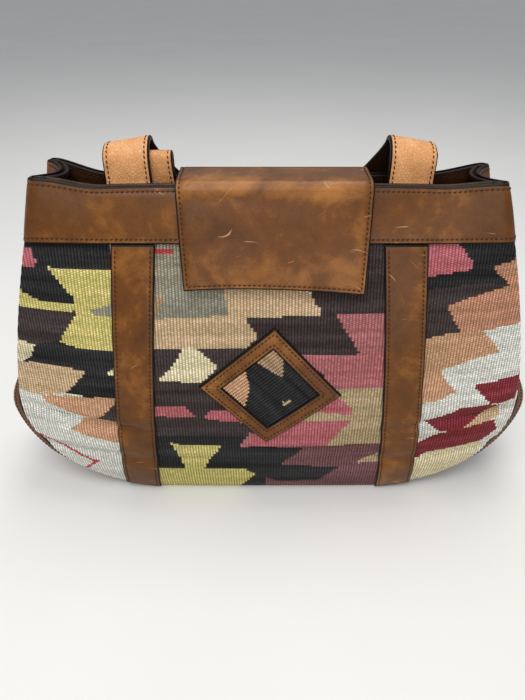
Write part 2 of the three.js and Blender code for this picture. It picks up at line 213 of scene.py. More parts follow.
@dataclass(frozen=True)
class DyedWool(Finish):
    """Weft-faced wool: beaded ribs over hidden warps, dyed in small lots, so its colour drifts in bands.

    The weave's own coordinates are in the mesh's "weave" map: ribs across and wefts up.
    """

    dye: Dye
    # Painted shade: the grooves take the dye darkened to this share.
    painted_groove_shade: float = 0.22
    deep_shade: float = 0.66
    faded_shade: float = 1.16
    faded_lift: float = 0.04
    drift_stretch: tuple[float, float, float] = (0.012, 0.16, 1.0)
    drift_span: Span = (0.32, 0.68)
    hue_span: Span = (0.3, 0.7)
    hues: Span = (0.512, 0.488)
    lot_tones: Span = (0.78, 1.16)
    rib_span: Span = (0.02, 0.34)
    bead_span: Span = (0.0, 0.32)
    bead_low: float = 0.25
    painted_groove_light: float = 0.2
    fuzz_scale: float = 3.1
    fuzz_share: float = 0.35
    bead_height_mm: float = 0.6

    @property
    def name(self) -> str:
        """Return the material's name."""
        return "dyed_wool_" + self.dye.name.lower()

    def dress(self, shader: Shader) -> None:
        """Build the beads, each dyed in its own lot, with drifting bands, fuzz and painted shade in the
        grooves.
        """
        weave = shader.node("UVMap", uv_map="weave").outputs["UV"]
        across, up, _ = shader.node("SeparateXYZ", {0: weave}).outputs
        rib_number = shader.maths("FLOOR", across)
        staggered = shader.maths("MULTIPLY_ADD", rib_number, 0.5, up)
        rib = shader.ranged(shader.maths("PINGPONG", across, 0.5), *self.rib_span, ease="SMOOTHSTEP")
        bead = shader.ranged(shader.maths("PINGPONG", staggered, 0.5), *self.bead_span, self.bead_low,
                             ease="SMOOTHSTEP")
        relief = shader.maths("MULTIPLY", rib, bead)
        cell = shader.node("CombineXYZ", {0: rib_number, 1: shader.maths("FLOOR", staggered)}).outputs[0]
        lot = shader.node("TexWhiteNoise", {0: cell}, noise_dimensions="2D").outputs[0]
        bands = shader.node("Mapping", {"Vector": weave, "Scale": self.drift_stretch}).outputs[0]
        drift = shader.noise(bands, 1.0, 4.0, 0.6).outputs[0]
        fuzz = shader.noise(weave, self.fuzz_scale, 3.0).outputs[0]
        base = linear(self.dye.value)
        deep = shaded(base, self.deep_shade)
        faded = shaded(base, self.faded_shade, self.faded_lift)
        yarn = shader.node("HueSaturation", {
            "Hue": shader.ranged(drift, *self.hue_span, *self.hues),
            "Value": shader.ranged(lot, 0.0, 1.0, *self.lot_tones),
            "Color": shader.mixed(shader.ranged(drift, *self.drift_span), deep, faded),
        }).outputs[0]
        # Painted shade: the grooves between ribs and between beads are coloured darker, down to the groove
        # colour.
        lit = shader.ranged(relief, to_low=self.painted_groove_light)
        fuzzed = shader.maths("MULTIPLY_ADD", fuzz, self.fuzz_share, relief)
        shader.close({
            "Base Color": shader.mixed(lit, shaded(base, self.painted_groove_shade), yarn),
            "Roughness": 0.92, "Specular IOR Level": 0.1, "Sheen Weight": 0.05, "Sheen Roughness": 0.6,
            "Normal": shader.bumped(0.7, self.bead_height_mm, fuzzed),
        })


@dataclass(frozen=True)
class PullUpLeather(Finish):
    """Oiled, waxed cowhide: it pales where it bends, darkens where it is handled and shows every scratch.

    A mesh's "wear" attribute says where, painted highlights included: above zero it is paler, below zero
    darker.
    """

    name: str
    pale: str
    mid: str
    deep: str
    grain_mm: float
    grain_height_mm: float
    roughness: float
    scratch_pale: float = 0.55
    scratch_colour: str = "d9a878"
    cloud_mm: float = 34.0
    cloud_height_mm: float = 0.9
    blotch_mm: float = 9.0
    blotch_share: float = 0.3
    wear_and_light_share: float = 0.2
    deep_at: float = 0.38
    mid_at: float = 0.66
    pale_at: float = 0.95
    pore_width: float = 0.22
    pore_shade: float = 0.8
    scratch_bend: float = 0.06
    scratch_turn: tuple[float, float, float] = (0.3, 0.5, 0.6)
    scratch_stretch: tuple[float, float, float] = (40.0, 40.0, 700.0)
    scratch_span: Span = (0.705, 0.74)
    patch_span: Span = (0.5, 0.62)
    scratch_bend_mm: float = 50.0
    scratch_patch_mm: float = 22.0

    def dress(self, shader: Shader) -> None:
        """Build the clouded hide, its grain and its scratches."""
        spot = shader.node("TexCoord").outputs["Object"]
        clouds = shader.noise(spot, 1 / (self.cloud_mm * MM), 5.0, 0.62, 0.4).outputs[0]
        blotch = shader.noise(spot, 1 / (self.blotch_mm * MM), 3.0, 0.6).outputs[0]
        # Real wear and painted highlights, such as the flap's fold and the diamond border, both come in
        # through this attribute.
        wear = shader.node("Attribute", attribute_name="wear").outputs["Fac"]
        blotched = shader.maths("MULTIPLY_ADD", blotch, self.blotch_share, clouds)
        pulled_and_lit = shader.maths("MULTIPLY_ADD", wear, self.wear_and_light_share, blotched)
        ramp = shader.node("ValToRGB", {0: pulled_and_lit})
        deep, pale = ramp.color_ramp.elements
        deep.position = self.deep_at
        deep.color = linear(self.deep)
        pale.position = self.pale_at
        pale.color = linear(self.pale)
        ramp.color_ramp.elements.new(self.mid_at).color = linear(self.mid)
        grain = shader.node("TexVoronoi", {0: spot, 2: 1 / (self.grain_mm * MM), "Randomness": 1.0},
                            feature="DISTANCE_TO_EDGE").outputs[0]
        pebble = shader.ranged(grain, high=self.pore_width, ease="SMOOTHSTEP")
        scratch = shader.maths("MULTIPLY", self.scratches(shader, spot), self.scratch_pale)
        hide = shader.node("HueSaturation", {
            "Value": shader.ranged(pebble, to_low=self.pore_shade),
            "Color": shader.mixed(scratch, ramp.outputs[0], linear(self.scratch_colour)),
        }).outputs[0]
        grained = shader.bumped(0.55, self.grain_height_mm, pebble)
        shader.close({
            "Base Color": hide,
            "Roughness": shader.ranged(clouds, 0.3, 0.7, self.roughness + 0.1, self.roughness - 0.06),
            "Specular IOR Level": 0.2, "Coat Weight": 0.08, "Coat Roughness": 0.2,
            "Normal": shader.bumped(0.5, self.cloud_height_mm, clouds, Normal=grained),
        })

    def scratches(self, shader: Shader, spot: Socket) -> Socket:
        """Return where fine bent scratches lie, in worn patches."""
        warp = shader.noise(spot, 1 / (self.scratch_bend_mm * MM), 2.0).outputs[1]
        bent = shader.node("Mix", {0: self.scratch_bend, 4: spot, 5: warp}, data_type="VECTOR").outputs[1]
        stretch = shader.node("Mapping", {"Vector": bent, "Rotation": self.scratch_turn,
                                          "Scale": self.scratch_stretch}).outputs[0]
        hairs = shader.noise(stretch, 1.0, 1.0).outputs[0]
        patches = shader.noise(spot, 1 / (self.scratch_patch_mm * MM), 1.0).outputs[0]
        lines = shader.ranged(hairs, *self.scratch_span)
        return shader.maths("MULTIPLY", lines, shader.ranged(patches, *self.patch_span))


@dataclass(frozen=True)
class PlainFinish(Finish):
    """One colour broken by fine noise: edge paint, thread, cloth, the flesh side, plate or paper."""

    name: str
    colour: str
    second: str
    noise_mm: float
    height_mm: float
    roughness: float
    metallic: float = 0.0
    specular: float = 0.3

    def dress(self, shader: Shader) -> None:
        """Build the two tones and the fine bumps."""
        spot = shader.node("TexCoord").outputs["Object"]
        noise = shader.noise(spot, 1 / (self.noise_mm * MM), 4.0, 0.6).outputs[0]
        tone = shader.ranged(noise, 0.3, 0.7)
        shader.close({
            "Base Color": shader.mixed(tone, linear(self.colour), linear(self.second)),
            "Roughness": self.roughness, "Metallic": self.metallic, "Specular IOR Level": self.specular,
            "Normal": shader.bumped(0.5, self.height_mm, noise),
        })


SMOOTH_LEATHER = PullUpLeather("waxed_cowhide", pale="9a6126", mid="643909", deep="4a2807",
                               grain_mm=1.1, grain_height_mm=0.05, roughness=0.34)
# Pale tan pebbled cowhide for the handles, made paler still by a painted highlight on their tops, which face
# the light.
PEBBLED_LEATHER_AND_HIGHLIGHT = PullUpLeather("pebbled_cowhide_and_painted_highlight", pale="e0ae7e", mid="cc905b", deep="a8703f",
                                grain_mm=2.0, grain_height_mm=0.3, roughness=0.38, scratch_pale=0.2)
# A darker copy of the waxed cowhide for the facing: the darkness is painted shade for the inside of the
# mouth.
PAINTED_SHADE_FACING_LEATHER = PullUpLeather("facing_cowhide_painted_shade", pale="6a4322", mid="4a2c15", deep="2c1a0e",
                               grain_mm=1.1, grain_height_mm=0.05, roughness=0.5, scratch_pale=0.2)
EDGE_PAINT = PlainFinish("black_edge_paint", "0d0a08", "191310", noise_mm=1.5, height_mm=0.1,
                         roughness=0.45, specular=0.14)
FLESH_SIDE = PlainFinish("black_suede_backing", "20120a", "341d0f", noise_mm=0.8, height_mm=0.12,
                         roughness=0.9, specular=0.1)
THREAD = PlainFinish("waxed_linen_thread", "1f1009", "341c10", noise_mm=0.6, height_mm=0.1, roughness=0.6)
COTTON = PlainFinish("brown_cotton_twill", "2b211b", "3c2f27", noise_mm=0.9, height_mm=0.15, roughness=0.95)
NICKEL = PlainFinish("nickel_plate", "b9b4aa", "cfcbc3", noise_mm=4.0, height_mm=0.02, roughness=0.28,
                     metallic=1.0)
PAPER = PlainFinish("pale_paper", "d6d4d0", "dad8d4", noise_mm=400.0, height_mm=0.01, roughness=0.9)


def run_of(line: Array) -> Array:
    """Return the length along a drawn line at each of its points."""
    return np.concatenate([[0], np.cumsum(np.linalg.norm(np.diff(line, axis=0), axis=1))])


def on_line(at: Array, run: Array, line: Array) -> Array:
    """Return the places on a drawn line at lengths along it.

    Args:
        at: the lengths.
        run: the length at each of the line's points.
        line: the points, or values at them.

    Returns:
        The places, with the coordinates on the last axis.
    """
    return np.stack([np.interp(at, run, line[:, i]) for i in range(line.shape[1])], axis=-1)


def unit(vectors: Array) -> Array:
    """Return vectors at length one."""
    return vectors / np.maximum(np.linalg.norm(vectors, axis=-1, keepdims=True), TINY)


def way_on_line(at: Array, run: Array, line: Array, reach: float) -> Array:
    """Return the unit direction of a drawn line, taken over a reach to both sides."""
    return unit(on_line(at + reach, run, line) - on_line(at - reach, run, line))


PANEL_PLACES = 240
SIDE_PLACES = 48


@dataclass(frozen=True)
class BodyForm:
    """The sewn body's shape: its outline from the front and its depth from the mid-plane, with its sag."""

    rim_height: float = 255.0
    rim_half_width: float = 154.0
    belly_half_width: float = 198.0
    foot_half_width: float = 84.0
    corner_rise: float = 88.0
    side_taper_power: float = 1.4
    foot_half_depth: float = 48.0
    rim_half_depth: float = 20.0
    depth_taper_power: float = 0.9
    belly_swell: float = 20.0
    swell_sag_power: float = 0.75
    mouth_pinch: float = 11.0
    mouth_pinch_power: float = 6.0
    swell_edge_power: float = 4.0
    side_fold: float = 14.0
    side_fold_power: float = 4.0
    crease_start_x: float = 60.0
    crease_full_x: float = 140.0
    crease_middle_x: float = 150.0
    crease_height: float = 84.0
    crease_depth: float = 4.0
    crease_width: float = 4.5
    crease_slope: float = 0.1
    pucker_rise: float = 13.0
    pucker_height: float = 2.4
    pucker_width: float = 8.0
    foot_crease_height: float = 40.0
    foot_crease_depth: float = 2.4
    foot_crease_width: float = 6.0
    foot_crease_slope: float = 0.05
    foot_crease_fade: Span = (4.0, 20.0)
    crease_end: Span = (0.93, 1.0)
    sag_end: Span = (0.95, 1.0)
    slack_height: float = 0.9
    slack_width: float = 23.0
    slack_bend: float = 1.1
    slack_bend_height: float = 31.0
    slack_foot: float = 10.0
    slack_span: float = 200.0

    def half_width(self, z: Array) -> Array:
        """Return half the body's width at a height."""
        z = np.asarray(z, float)
        drop = np.clip((self.corner_rise - z) / self.corner_rise, 0, 1)
        corner_span = self.belly_half_width - self.foot_half_width
        corner = self.foot_half_width + corner_span * np.sqrt(1 - drop ** 2)
        up = np.clip((z - self.corner_rise) / (self.rim_height - self.corner_rise), 0, 1)
        side_span = self.rim_half_width - self.belly_half_width
        side = self.belly_half_width + side_span * up ** self.side_taper_power
        return np.where(z < self.corner_rise, corner, side)

    def lower_edge(self, x: Array) -> Array:
        """Return the height of the body's lower edge at a distance from the middle."""
        share = (np.abs(x) - self.foot_half_width) / (self.belly_half_width - self.foot_half_width)
        return self.corner_rise * (1 - np.sqrt(1 - np.clip(share, 0, 1) ** 2))

    def upper_edge(self, x: Array) -> Array:
        """Return the height where the side's outline reaches a distance from the middle, or the rim."""
        share = (self.belly_half_width - np.abs(x)) / (self.belly_half_width - self.rim_half_width)
        up = np.clip(share, 0, 1) ** (1 / self.side_taper_power)
        return self.corner_rise + (self.rim_height - self.corner_rise) * up

    def seam_depth(self, z: Array) -> Array:
        """Return half the gusset's width at a height."""
        down = np.clip(1 - np.asarray(z, float) / self.rim_height, 0, 1)
        span = self.foot_half_depth - self.rim_half_depth
        return self.rim_half_depth + span * down ** self.depth_taper_power

    def depth(self, x: Array, z: Array) -> Array:
        """Return the distance from the mid-plane to a panel's inner face.

        Args:
            x: distance from the middle, to the right.
            z: height.

        Returns:
            The depth, with the panel's swell, its pinch at the mouth and its sagging creases.
        """
        x, z = np.broadcast_arrays(np.asarray(x, float), np.asarray(z, float))
        height = np.clip(z / self.rim_height, 0, 1)
        across = 1 - np.minimum(1, np.abs(x) / self.half_width(z)) ** self.swell_edge_power
        swell = self.belly_swell * np.sin(np.pi * height ** self.swell_sag_power)
        pinch = self.mouth_pinch * height ** self.mouth_pinch_power
        return self.seam_depth(z) + across * (swell - pinch) + self.sag(x, z)

    def sag(self, x: Array, z: Array) -> Array:
        """Return how far the slack weave stands out or tucks in, at both lower sides and above the foot."""
        off = np.abs(x)
        share = off / self.belly_half_width
        beside = smooth_step(self.crease_start_x, self.crease_full_x, off)
        beside = beside * (1 - smooth_step(*self.crease_end, share))
        line = z - (self.crease_height + self.crease_slope * (off - self.crease_middle_x))
        pucker = self.pucker_height * bell(line - self.pucker_rise, self.pucker_width)
        tuck = pucker - self.crease_depth * bell(line, self.crease_width)
        foot_line = z - self.foot_crease_height - self.foot_crease_slope * off
        foot = -self.foot_crease_depth * bell(foot_line, self.foot_crease_width)
        foot = foot * smooth_step(*self.foot_crease_fade, z)
        up = np.clip((z - self.slack_foot) / self.slack_span, 0, 1)
        wave = x / self.slack_width + self.slack_bend * np.sin(z / self.slack_bend_height)
        slack = self.slack_height * np.sin(wave) * np.sin(np.pi * up)
        return beside * tuck + (foot + slack) * (1 - smooth_step(*self.sag_end, share))

    def fold(self, across: Array, z: Array) -> Array:
        """Return how far the gusset folds inwards, at -1 to 1 across it."""
        return self.side_fold * np.clip(z / self.rim_height, 0, 1) ** self.side_fold_power * (1 - across ** 2)

    def face(self, side: int, x: Array, z: Array, lift: Array) -> Array:
        """Return points on a panel.

        Args:
            side: -1 for the front panel and 1 for the back panel.
            x: distance from the middle.
            z: height.
            lift: distance out from the panel's inner face.

        Returns:
            Points, with the coordinates on the last axis.
        """
        x, z, lift = np.broadcast_arrays(x, z, lift)
        return np.stack([x, side * (self.depth(x, z) + lift), z], axis=-1).astype(float)

    def mouth_loop(self, count: int) -> tuple[Array, Array, Array]:
        """Lay out even places round the mouth.

        Args:
            count: how many places.

        Returns:
            Each place's share of the half-width (-1 to 1), its share of the depth (-1 to 1), and its length
            along the loop in millimetres.
        """
        panel = np.linspace(-1, 1, PANEL_PLACES, endpoint=False)
        side = np.linspace(-1, 1, SIDE_PLACES, endpoint=False)
        xs = np.concatenate([panel, np.ones(SIDE_PLACES), -panel, -np.ones(SIDE_PLACES)])
        ys = np.concatenate([-np.ones(PANEL_PLACES), side, np.ones(PANEL_PLACES), -side])
        closed_x = np.append(xs, xs[0])
        closed_y = np.append(ys, ys[0])
        length = run_of(np.stack(self.loop_point(closed_x, closed_y, self.rim_height), axis=1))
        even = np.linspace(0, length[-1], count, endpoint=False)
        return np.interp(even, length, closed_x), np.interp(even, length, closed_y), even

    def loop_point(self, share_x: Array, share_y: Array, z: Array) -> tuple[Array, Array]:
        """Return x and y on the body's level loop from shares of its half-width and depth."""
        half = self.half_width(z)
        x = share_x * half
        at_side = np.abs(share_x) > 0.9999
        depth = np.where(at_side, self.seam_depth(z), self.depth(np.clip(x, -half, half), z))
        x = x - np.where(at_side, np.sign(share_x) * self.fold(share_y, z), 0)
        return x, share_y * depth


BODY = BodyForm()
KILIM_THICKNESS = 2.5
LEATHER_THICKNESS = 2.0
GAP = 0.3
SEAM_GAP = 0.5
SEAM_LIFT = KILIM_THICKNESS + SEAM_GAP
BAND_HEIGHT = 34.0
STITCH_PITCH = 3.3
STITCH_INSET = 3.0
STITCH_FROM = 0.16
STITCH_TO = 0.86
STITCH_SLANT = 0.22
STITCH_LEVEL = 0.9
STITCH_SIDES = 6
STITCH_RINGS = np.array([0.0, 0.18, 0.5, 0.82, 1.0])
STITCH_RADII = np.array([0.2, 0.46, 0.52, 0.46, 0.2])
STITCH_RISE = np.array([-0.3, 0.12, 0.2, 0.12, -0.3])
SEAM_STEP = 2.0
EDGE_COLUMNS = 2
EDGE_STEPS = np.array([0.0, 0.35, 1.1, 2.3, 3.0, 3.7])
EDGE_LEVELS = np.array([0.5, 0.86, 1.0, 1.0, 0.86, 1.0])


def edge_positions(length: float, count: int) -> tuple[Array, Array]:
    """Lay out steps across a strip, close together at its rounded, stitched edges.

    Args:
        length: the strip's width in millimetres.
        count: how many even steps there are between the edges.

    Returns:
        The positions, and the share of the full thickness at each.
    """
    inner = np.linspace(EDGE_STEPS[-1], length - EDGE_STEPS[-1], count + 1)[1:-1]
    positions = np.concatenate([EDGE_STEPS, inner, length - EDGE_STEPS[::-1]])
    levels = np.concatenate([EDGE_LEVELS, np.ones(count - 1), EDGE_LEVELS[::-1]])
    return positions, levels


def mesh_object(name: str, points: Array, faces: list[Any], finishes: list[Finish],
                slots: Array | None = None, smooth: bool = True) -> bpy.types.Object:
    """Make an object from points in millimetres.

    Args:
        name: the piece's name.
        points: its vertices.
        faces: its faces, as lists of vertex numbers.
        finishes: one finish for each material slot.
        slots: each face's slot.
        smooth: whether it is shaded smooth.

    Returns:
        The new object, linked to the scene.
    """
    mesh = bpy.data.meshes.new(name)
    mesh.from_pydata((points * MM).tolist(), [], [list(map(int, f)) for f in faces])
    for finish in finishes:
        mesh.materials.append(finish.material())
    if slots is not None:
        mesh.polygons.foreach_set("material_index", np.asarray(slots, np.int32))
    mesh.polygons.foreach_set("use_smooth", np.full(len(mesh.polygons), smooth))
    mesh.update()
    made = bpy.data.objects.new(name, mesh)
    bpy.context.scene.collection.objects.link(made)
    return made


def slab_faces(rows: int, cols: int, ring: bool, border: int) -> tuple[Array, Array]:
    """Number the faces of a closed sheet between an outer and an inner grid.

    Args:
        rows: places along the sheet; a ring closes them.
        cols: places across it.
        ring: whether the last row joins the first.
        border: how many columns at each edge belong to the edge paint.

    Returns:
        The quads, and a slot for each: 0 face, 1 edge, 2 back.
    """
    count = rows * cols
    row_end = rows if ring else rows - 1
    r, c = np.meshgrid(np.arange(row_end), np.arange(cols - 1), indexing="ij")
    r, c = r.ravel(), c.ravel()
    nxt = (r + 1) % rows
    outer = np.stack([r * cols + c, r * cols + c + 1, nxt * cols + c + 1, nxt * cols + c], axis=1)
    inner = outer[:, ::-1] + count
    slots = np.where((c < border) | (c >= cols - 1 - border), 1, 0)
    if not ring:
        slots = np.where((r < border) | (r >= rows - 1 - border), 1, slots)
    ends = np.arange(row_end)
    after = (ends + 1) % rows
    left = np.stack([ends * cols, after * cols, after * cols + count, ends * cols + count], axis=1)
    last = cols - 1
    right = np.stack([ends * cols + last, ends * cols + last + count, after * cols + last + count,
                      after * cols + last], axis=1)
    walls = [left, right]
    if not ring:
        a = np.arange(cols - 1)
        top = (rows - 1) * cols
        walls.append(np.stack([a, a + count, a + 1 + count, a + 1], axis=1))
        walls.append(np.stack([top + a, top + a + 1, top + a + 1 + count, top + a + count], axis=1))
    wall = np.concatenate(walls)
    quads = np.concatenate([outer, inner, wall])
    kinds = np.concatenate([slots, np.full(len(inner), 2), np.ones(len(wall), int)])
    return quads, kinds


def face_outwards(piece: bpy.types.Object) -> None:
    """Turn a closed piece's faces outwards if they run the other way round."""
    mesh = piece.data
    mesh.calc_loop_triangles()
    corners = np.empty(len(mesh.vertices) * 3)
    mesh.vertices.foreach_get("co", corners)
    corners = corners.reshape(-1, 3)
    tris = np.empty(len(mesh.loop_triangles) * 3, np.int32)
    mesh.loop_triangles.foreach_get("vertices", tris)
    a, b, c = (corners[tris.reshape(-1, 3)[:, i]] for i in range(3))
    if np.einsum("ij,ij->i", a, np.cross(b, c)).sum() < 0:
        mesh.flip_normals()


def stitch_mesh(name: str, runs: list[tuple[Array, Array]]) -> bpy.types.Object:
    """Lay waxed thread along seams as single stitches.

    Args:
        name: the piece's name.
        runs: for each seam, its dense points and the outward normals there.

    Returns:
        One object with every stitch.
    """
    starts = []
    ends = []
    ups = []
    for points, normals in runs:
        run = run_of(points)
        count = max(1, int(run[-1] // STITCH_PITCH))
        begin = (np.arange(count) + STITCH_FROM) * run[-1] / count
        finish = (np.arange(count) + STITCH_TO) * run[-1] / count
        starts.append(on_line(begin, run, points))
        ends.append(on_line(finish, run, points))
        ups.append(on_line((begin + finish) / 2, run, normals))
    start, end, up = (np.concatenate(parts) for parts in (starts, ends, ups))
    side = np.cross(up, unit(end - start))
    rings = STITCH_RINGS[None, :, None]
    slant = side[:, None] * STITCH_SLANT * (2 * rings - 1)
    rise = up[:, None] * STITCH_RISE[None, :, None]
    middle = start[:, None] + (end - start)[:, None] * rings + slant + rise
    turn = (np.arange(STITCH_SIDES) * 2 * np.pi / STITCH_SIDES)[None, :, None]
    out = side[:, None] * np.cos(turn) + up[:, None] * np.sin(turn)
    points = middle[:, :, None] + out[:, None] * STITCH_RADII[None, :, None, None]
    per = len(STITCH_RINGS) * STITCH_SIDES
    r, s = np.meshgrid(np.arange(len(STITCH_RINGS) - 1), np.arange(STITCH_SIDES), indexing="ij")
    low = (r * STITCH_SIDES + s).ravel()
    low_next = (r * STITCH_SIDES + (s + 1) % STITCH_SIDES).ravel()
    one = np.stack([low, low + STITCH_SIDES, low_next + STITCH_SIDES, low_next], axis=1)
    first = np.arange(len(start)) * per
    quads = (one[None] + first[:, None, None]).reshape(-1, 4)
    caps = []
    for begin in first.tolist():
        caps.append([begin + i for i in range(STITCH_SIDES)])
        caps.append([begin + per - 1 - i for i in range(STITCH_SIDES)])
    return mesh_object(name, points.reshape(-1, 3), quads.tolist() + caps, [THREAD])


def normals_of(place: Place, across: Array, along: Array, lift: float) -> Array:
    """Return unit normals of a placed strip, from the way its lift points."""
    low = place(across, along, np.full_like(across, lift))
    return unit(place(across, along, np.full_like(across, lift + 0.5)) - low)


@dataclass
class LeatherStrip:
    """One cut piece of leather: a sheet with rounded, painted edges, stitched just inside them."""

    name: str
    nodes: tuple[str, ...]
    place: Place
    width: float
    length: float
    finish: PullUpLeather
    base: float = 0.0
    thickness: float = LEATHER_THICKNESS
    ring: bool = False
    columns: int = 10
    rows: int = 60
    stitch_sides: tuple[bool, bool] = (True, True)
    stitch_ends: tuple[bool, bool] = (False, False)
    slot: str = "tan_leather"
    wear: WearAndPaintedLight | None = None

    def build(self) -> bpy.types.Object:
        """Build the sheet, and its stitches as a child.

        Returns:
            The sheet's object.
        """
        across, level_across = edge_positions(self.width, self.columns)
        if self.ring:
            along = np.linspace(0, self.length, self.rows, endpoint=False)
            level_along = np.ones(self.rows)
        else:
            along, level_along = edge_positions(self.length, self.rows)
        grid_a, grid_b = np.meshgrid(across, along)
        level = np.minimum(level_across[None, :], level_along[:, None])
        outer = self.place(grid_a, grid_b, self.base + self.thickness * level)
        inner = self.place(grid_a, grid_b, np.full_like(grid_a, self.base))
        quads, kinds = slab_faces(len(along), len(across), self.ring, EDGE_COLUMNS)
        points = np.concatenate([outer.reshape(-1, 3), inner.reshape(-1, 3)])
        piece = mesh_object(self.name, points, quads.tolist(), [self.finish, EDGE_PAINT, FLESH_SIDE], kinds)
        face_outwards(piece)
        if self.wear:
            values = np.concatenate([self.wear(grid_a, grid_b).ravel(), np.zeros(grid_a.size)])
            piece.data.attributes.new("wear", "FLOAT", "POINT").data.foreach_set("value", values)
        if self.nodes:
            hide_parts(*self.nodes)
        runs = self.seams()
        if runs:
            thread = stitch_mesh(self.name + "_stitches", runs)
            thread.parent = piece
        log.info("%s: %d vertices", self.name, len(piece.data.vertices))
        return piece

    def seams(self) -> list[tuple[Array, Array]]:
        """Return the points and normals of each seam on the sheet."""
        lift = self.base + self.thickness * STITCH_LEVEL
        end = self.length if self.ring else self.length - STITCH_INSET
        begin = 0.0 if self.ring else STITCH_INSET
        along = np.linspace(begin, end, max(8, int((end - begin) / SEAM_STEP)))
        across = np.linspace(STITCH_INSET, self.width - STITCH_INSET, max(8, int(self.width / SEAM_STEP)))
        lines = []
        for wanted, at in zip(self.stitch_sides, (STITCH_INSET, self.width - STITCH_INSET)):
            if wanted:
                lines.append((np.full_like(along, at), along))
        for wanted, at in zip(self.stitch_ends, (STITCH_INSET, self.length - STITCH_INSET)):
            if wanted:
                lines.append((across, np.full_like(across, at)))
        runs = []
        for a, b in lines:
            runs.append((self.place(a, b, np.full_like(a, lift)), normals_of(self.place, a, b, lift)))
        return runs


LOOP_PLACES = 720
CORNER_REACH = 6.0
CORNER_FADE = 7.5
CORNER_STEPS = 9
LOOP_STEP = 0.6


class MouthLoop:
    """The rounded line round the bag, followed by the band, the facing and the lining."""

    def __init__(self, form: BodyForm) -> None:
        """Lay out the loop's shares of the body's width and depth."""
        self.form = form
        share_x, share_y, at = form.mouth_loop(LOOP_PLACES)
        self.length = at[1] * len(at)
        self.at = np.append(at, self.length)
        self.shares = np.stack([np.append(s, s[0]) for s in (share_x, share_y)], axis=1)
        self.window = np.linspace(-CORNER_REACH, CORNER_REACH, CORNER_STEPS)
        weights = np.cos(self.window / CORNER_FADE * np.pi / 2) ** 2
        self.weights = weights / weights.sum()

    def level(self, along: Array, z: Array, scale: Array) -> tuple[Array, Array, Array]:
        """Return x, y and how far a place is on a side rather than a panel.

        Args:
            along: millimetres round the loop.
            z: height.
            scale: shrinks the loop towards the middle.

        Returns:
            x, y and a weight from 0 to 1.
        """
        x = 0.0
        y = 0.0
        side = 0.0
        for step, weight in zip(self.window, self.weights):
            shares = on_line(np.mod(along + step, self.length), self.at, self.shares)
            spot_x, spot_y = self.form.loop_point(shares[..., 0], shares[..., 1], z)
            x = x + weight * spot_x * scale
            y = y + weight * spot_y * scale
            side = side + weight * (np.abs(shares[..., 0]) > 0.999)
        return x, y, side

    def offset(self, along: Array, z: Array, lift: Array, side_lift: float, scale: Array = 1.0) -> Array:
        """Return points lifted out from the loop, with another lift added at the sides."""
        x0, y0, _ = self.level(along - LOOP_STEP, z, scale)
        x1, y1, _ = self.level(along + LOOP_STEP, z, scale)
        x, y, side = self.level(along, z, scale)
        way = unit(np.stack([x1 - x0, y1 - y0], axis=-1))
        out = lift + side * side_lift
        return np.stack([x + out * way[..., 1], y - out * way[..., 0], z + 0 * x], axis=-1)


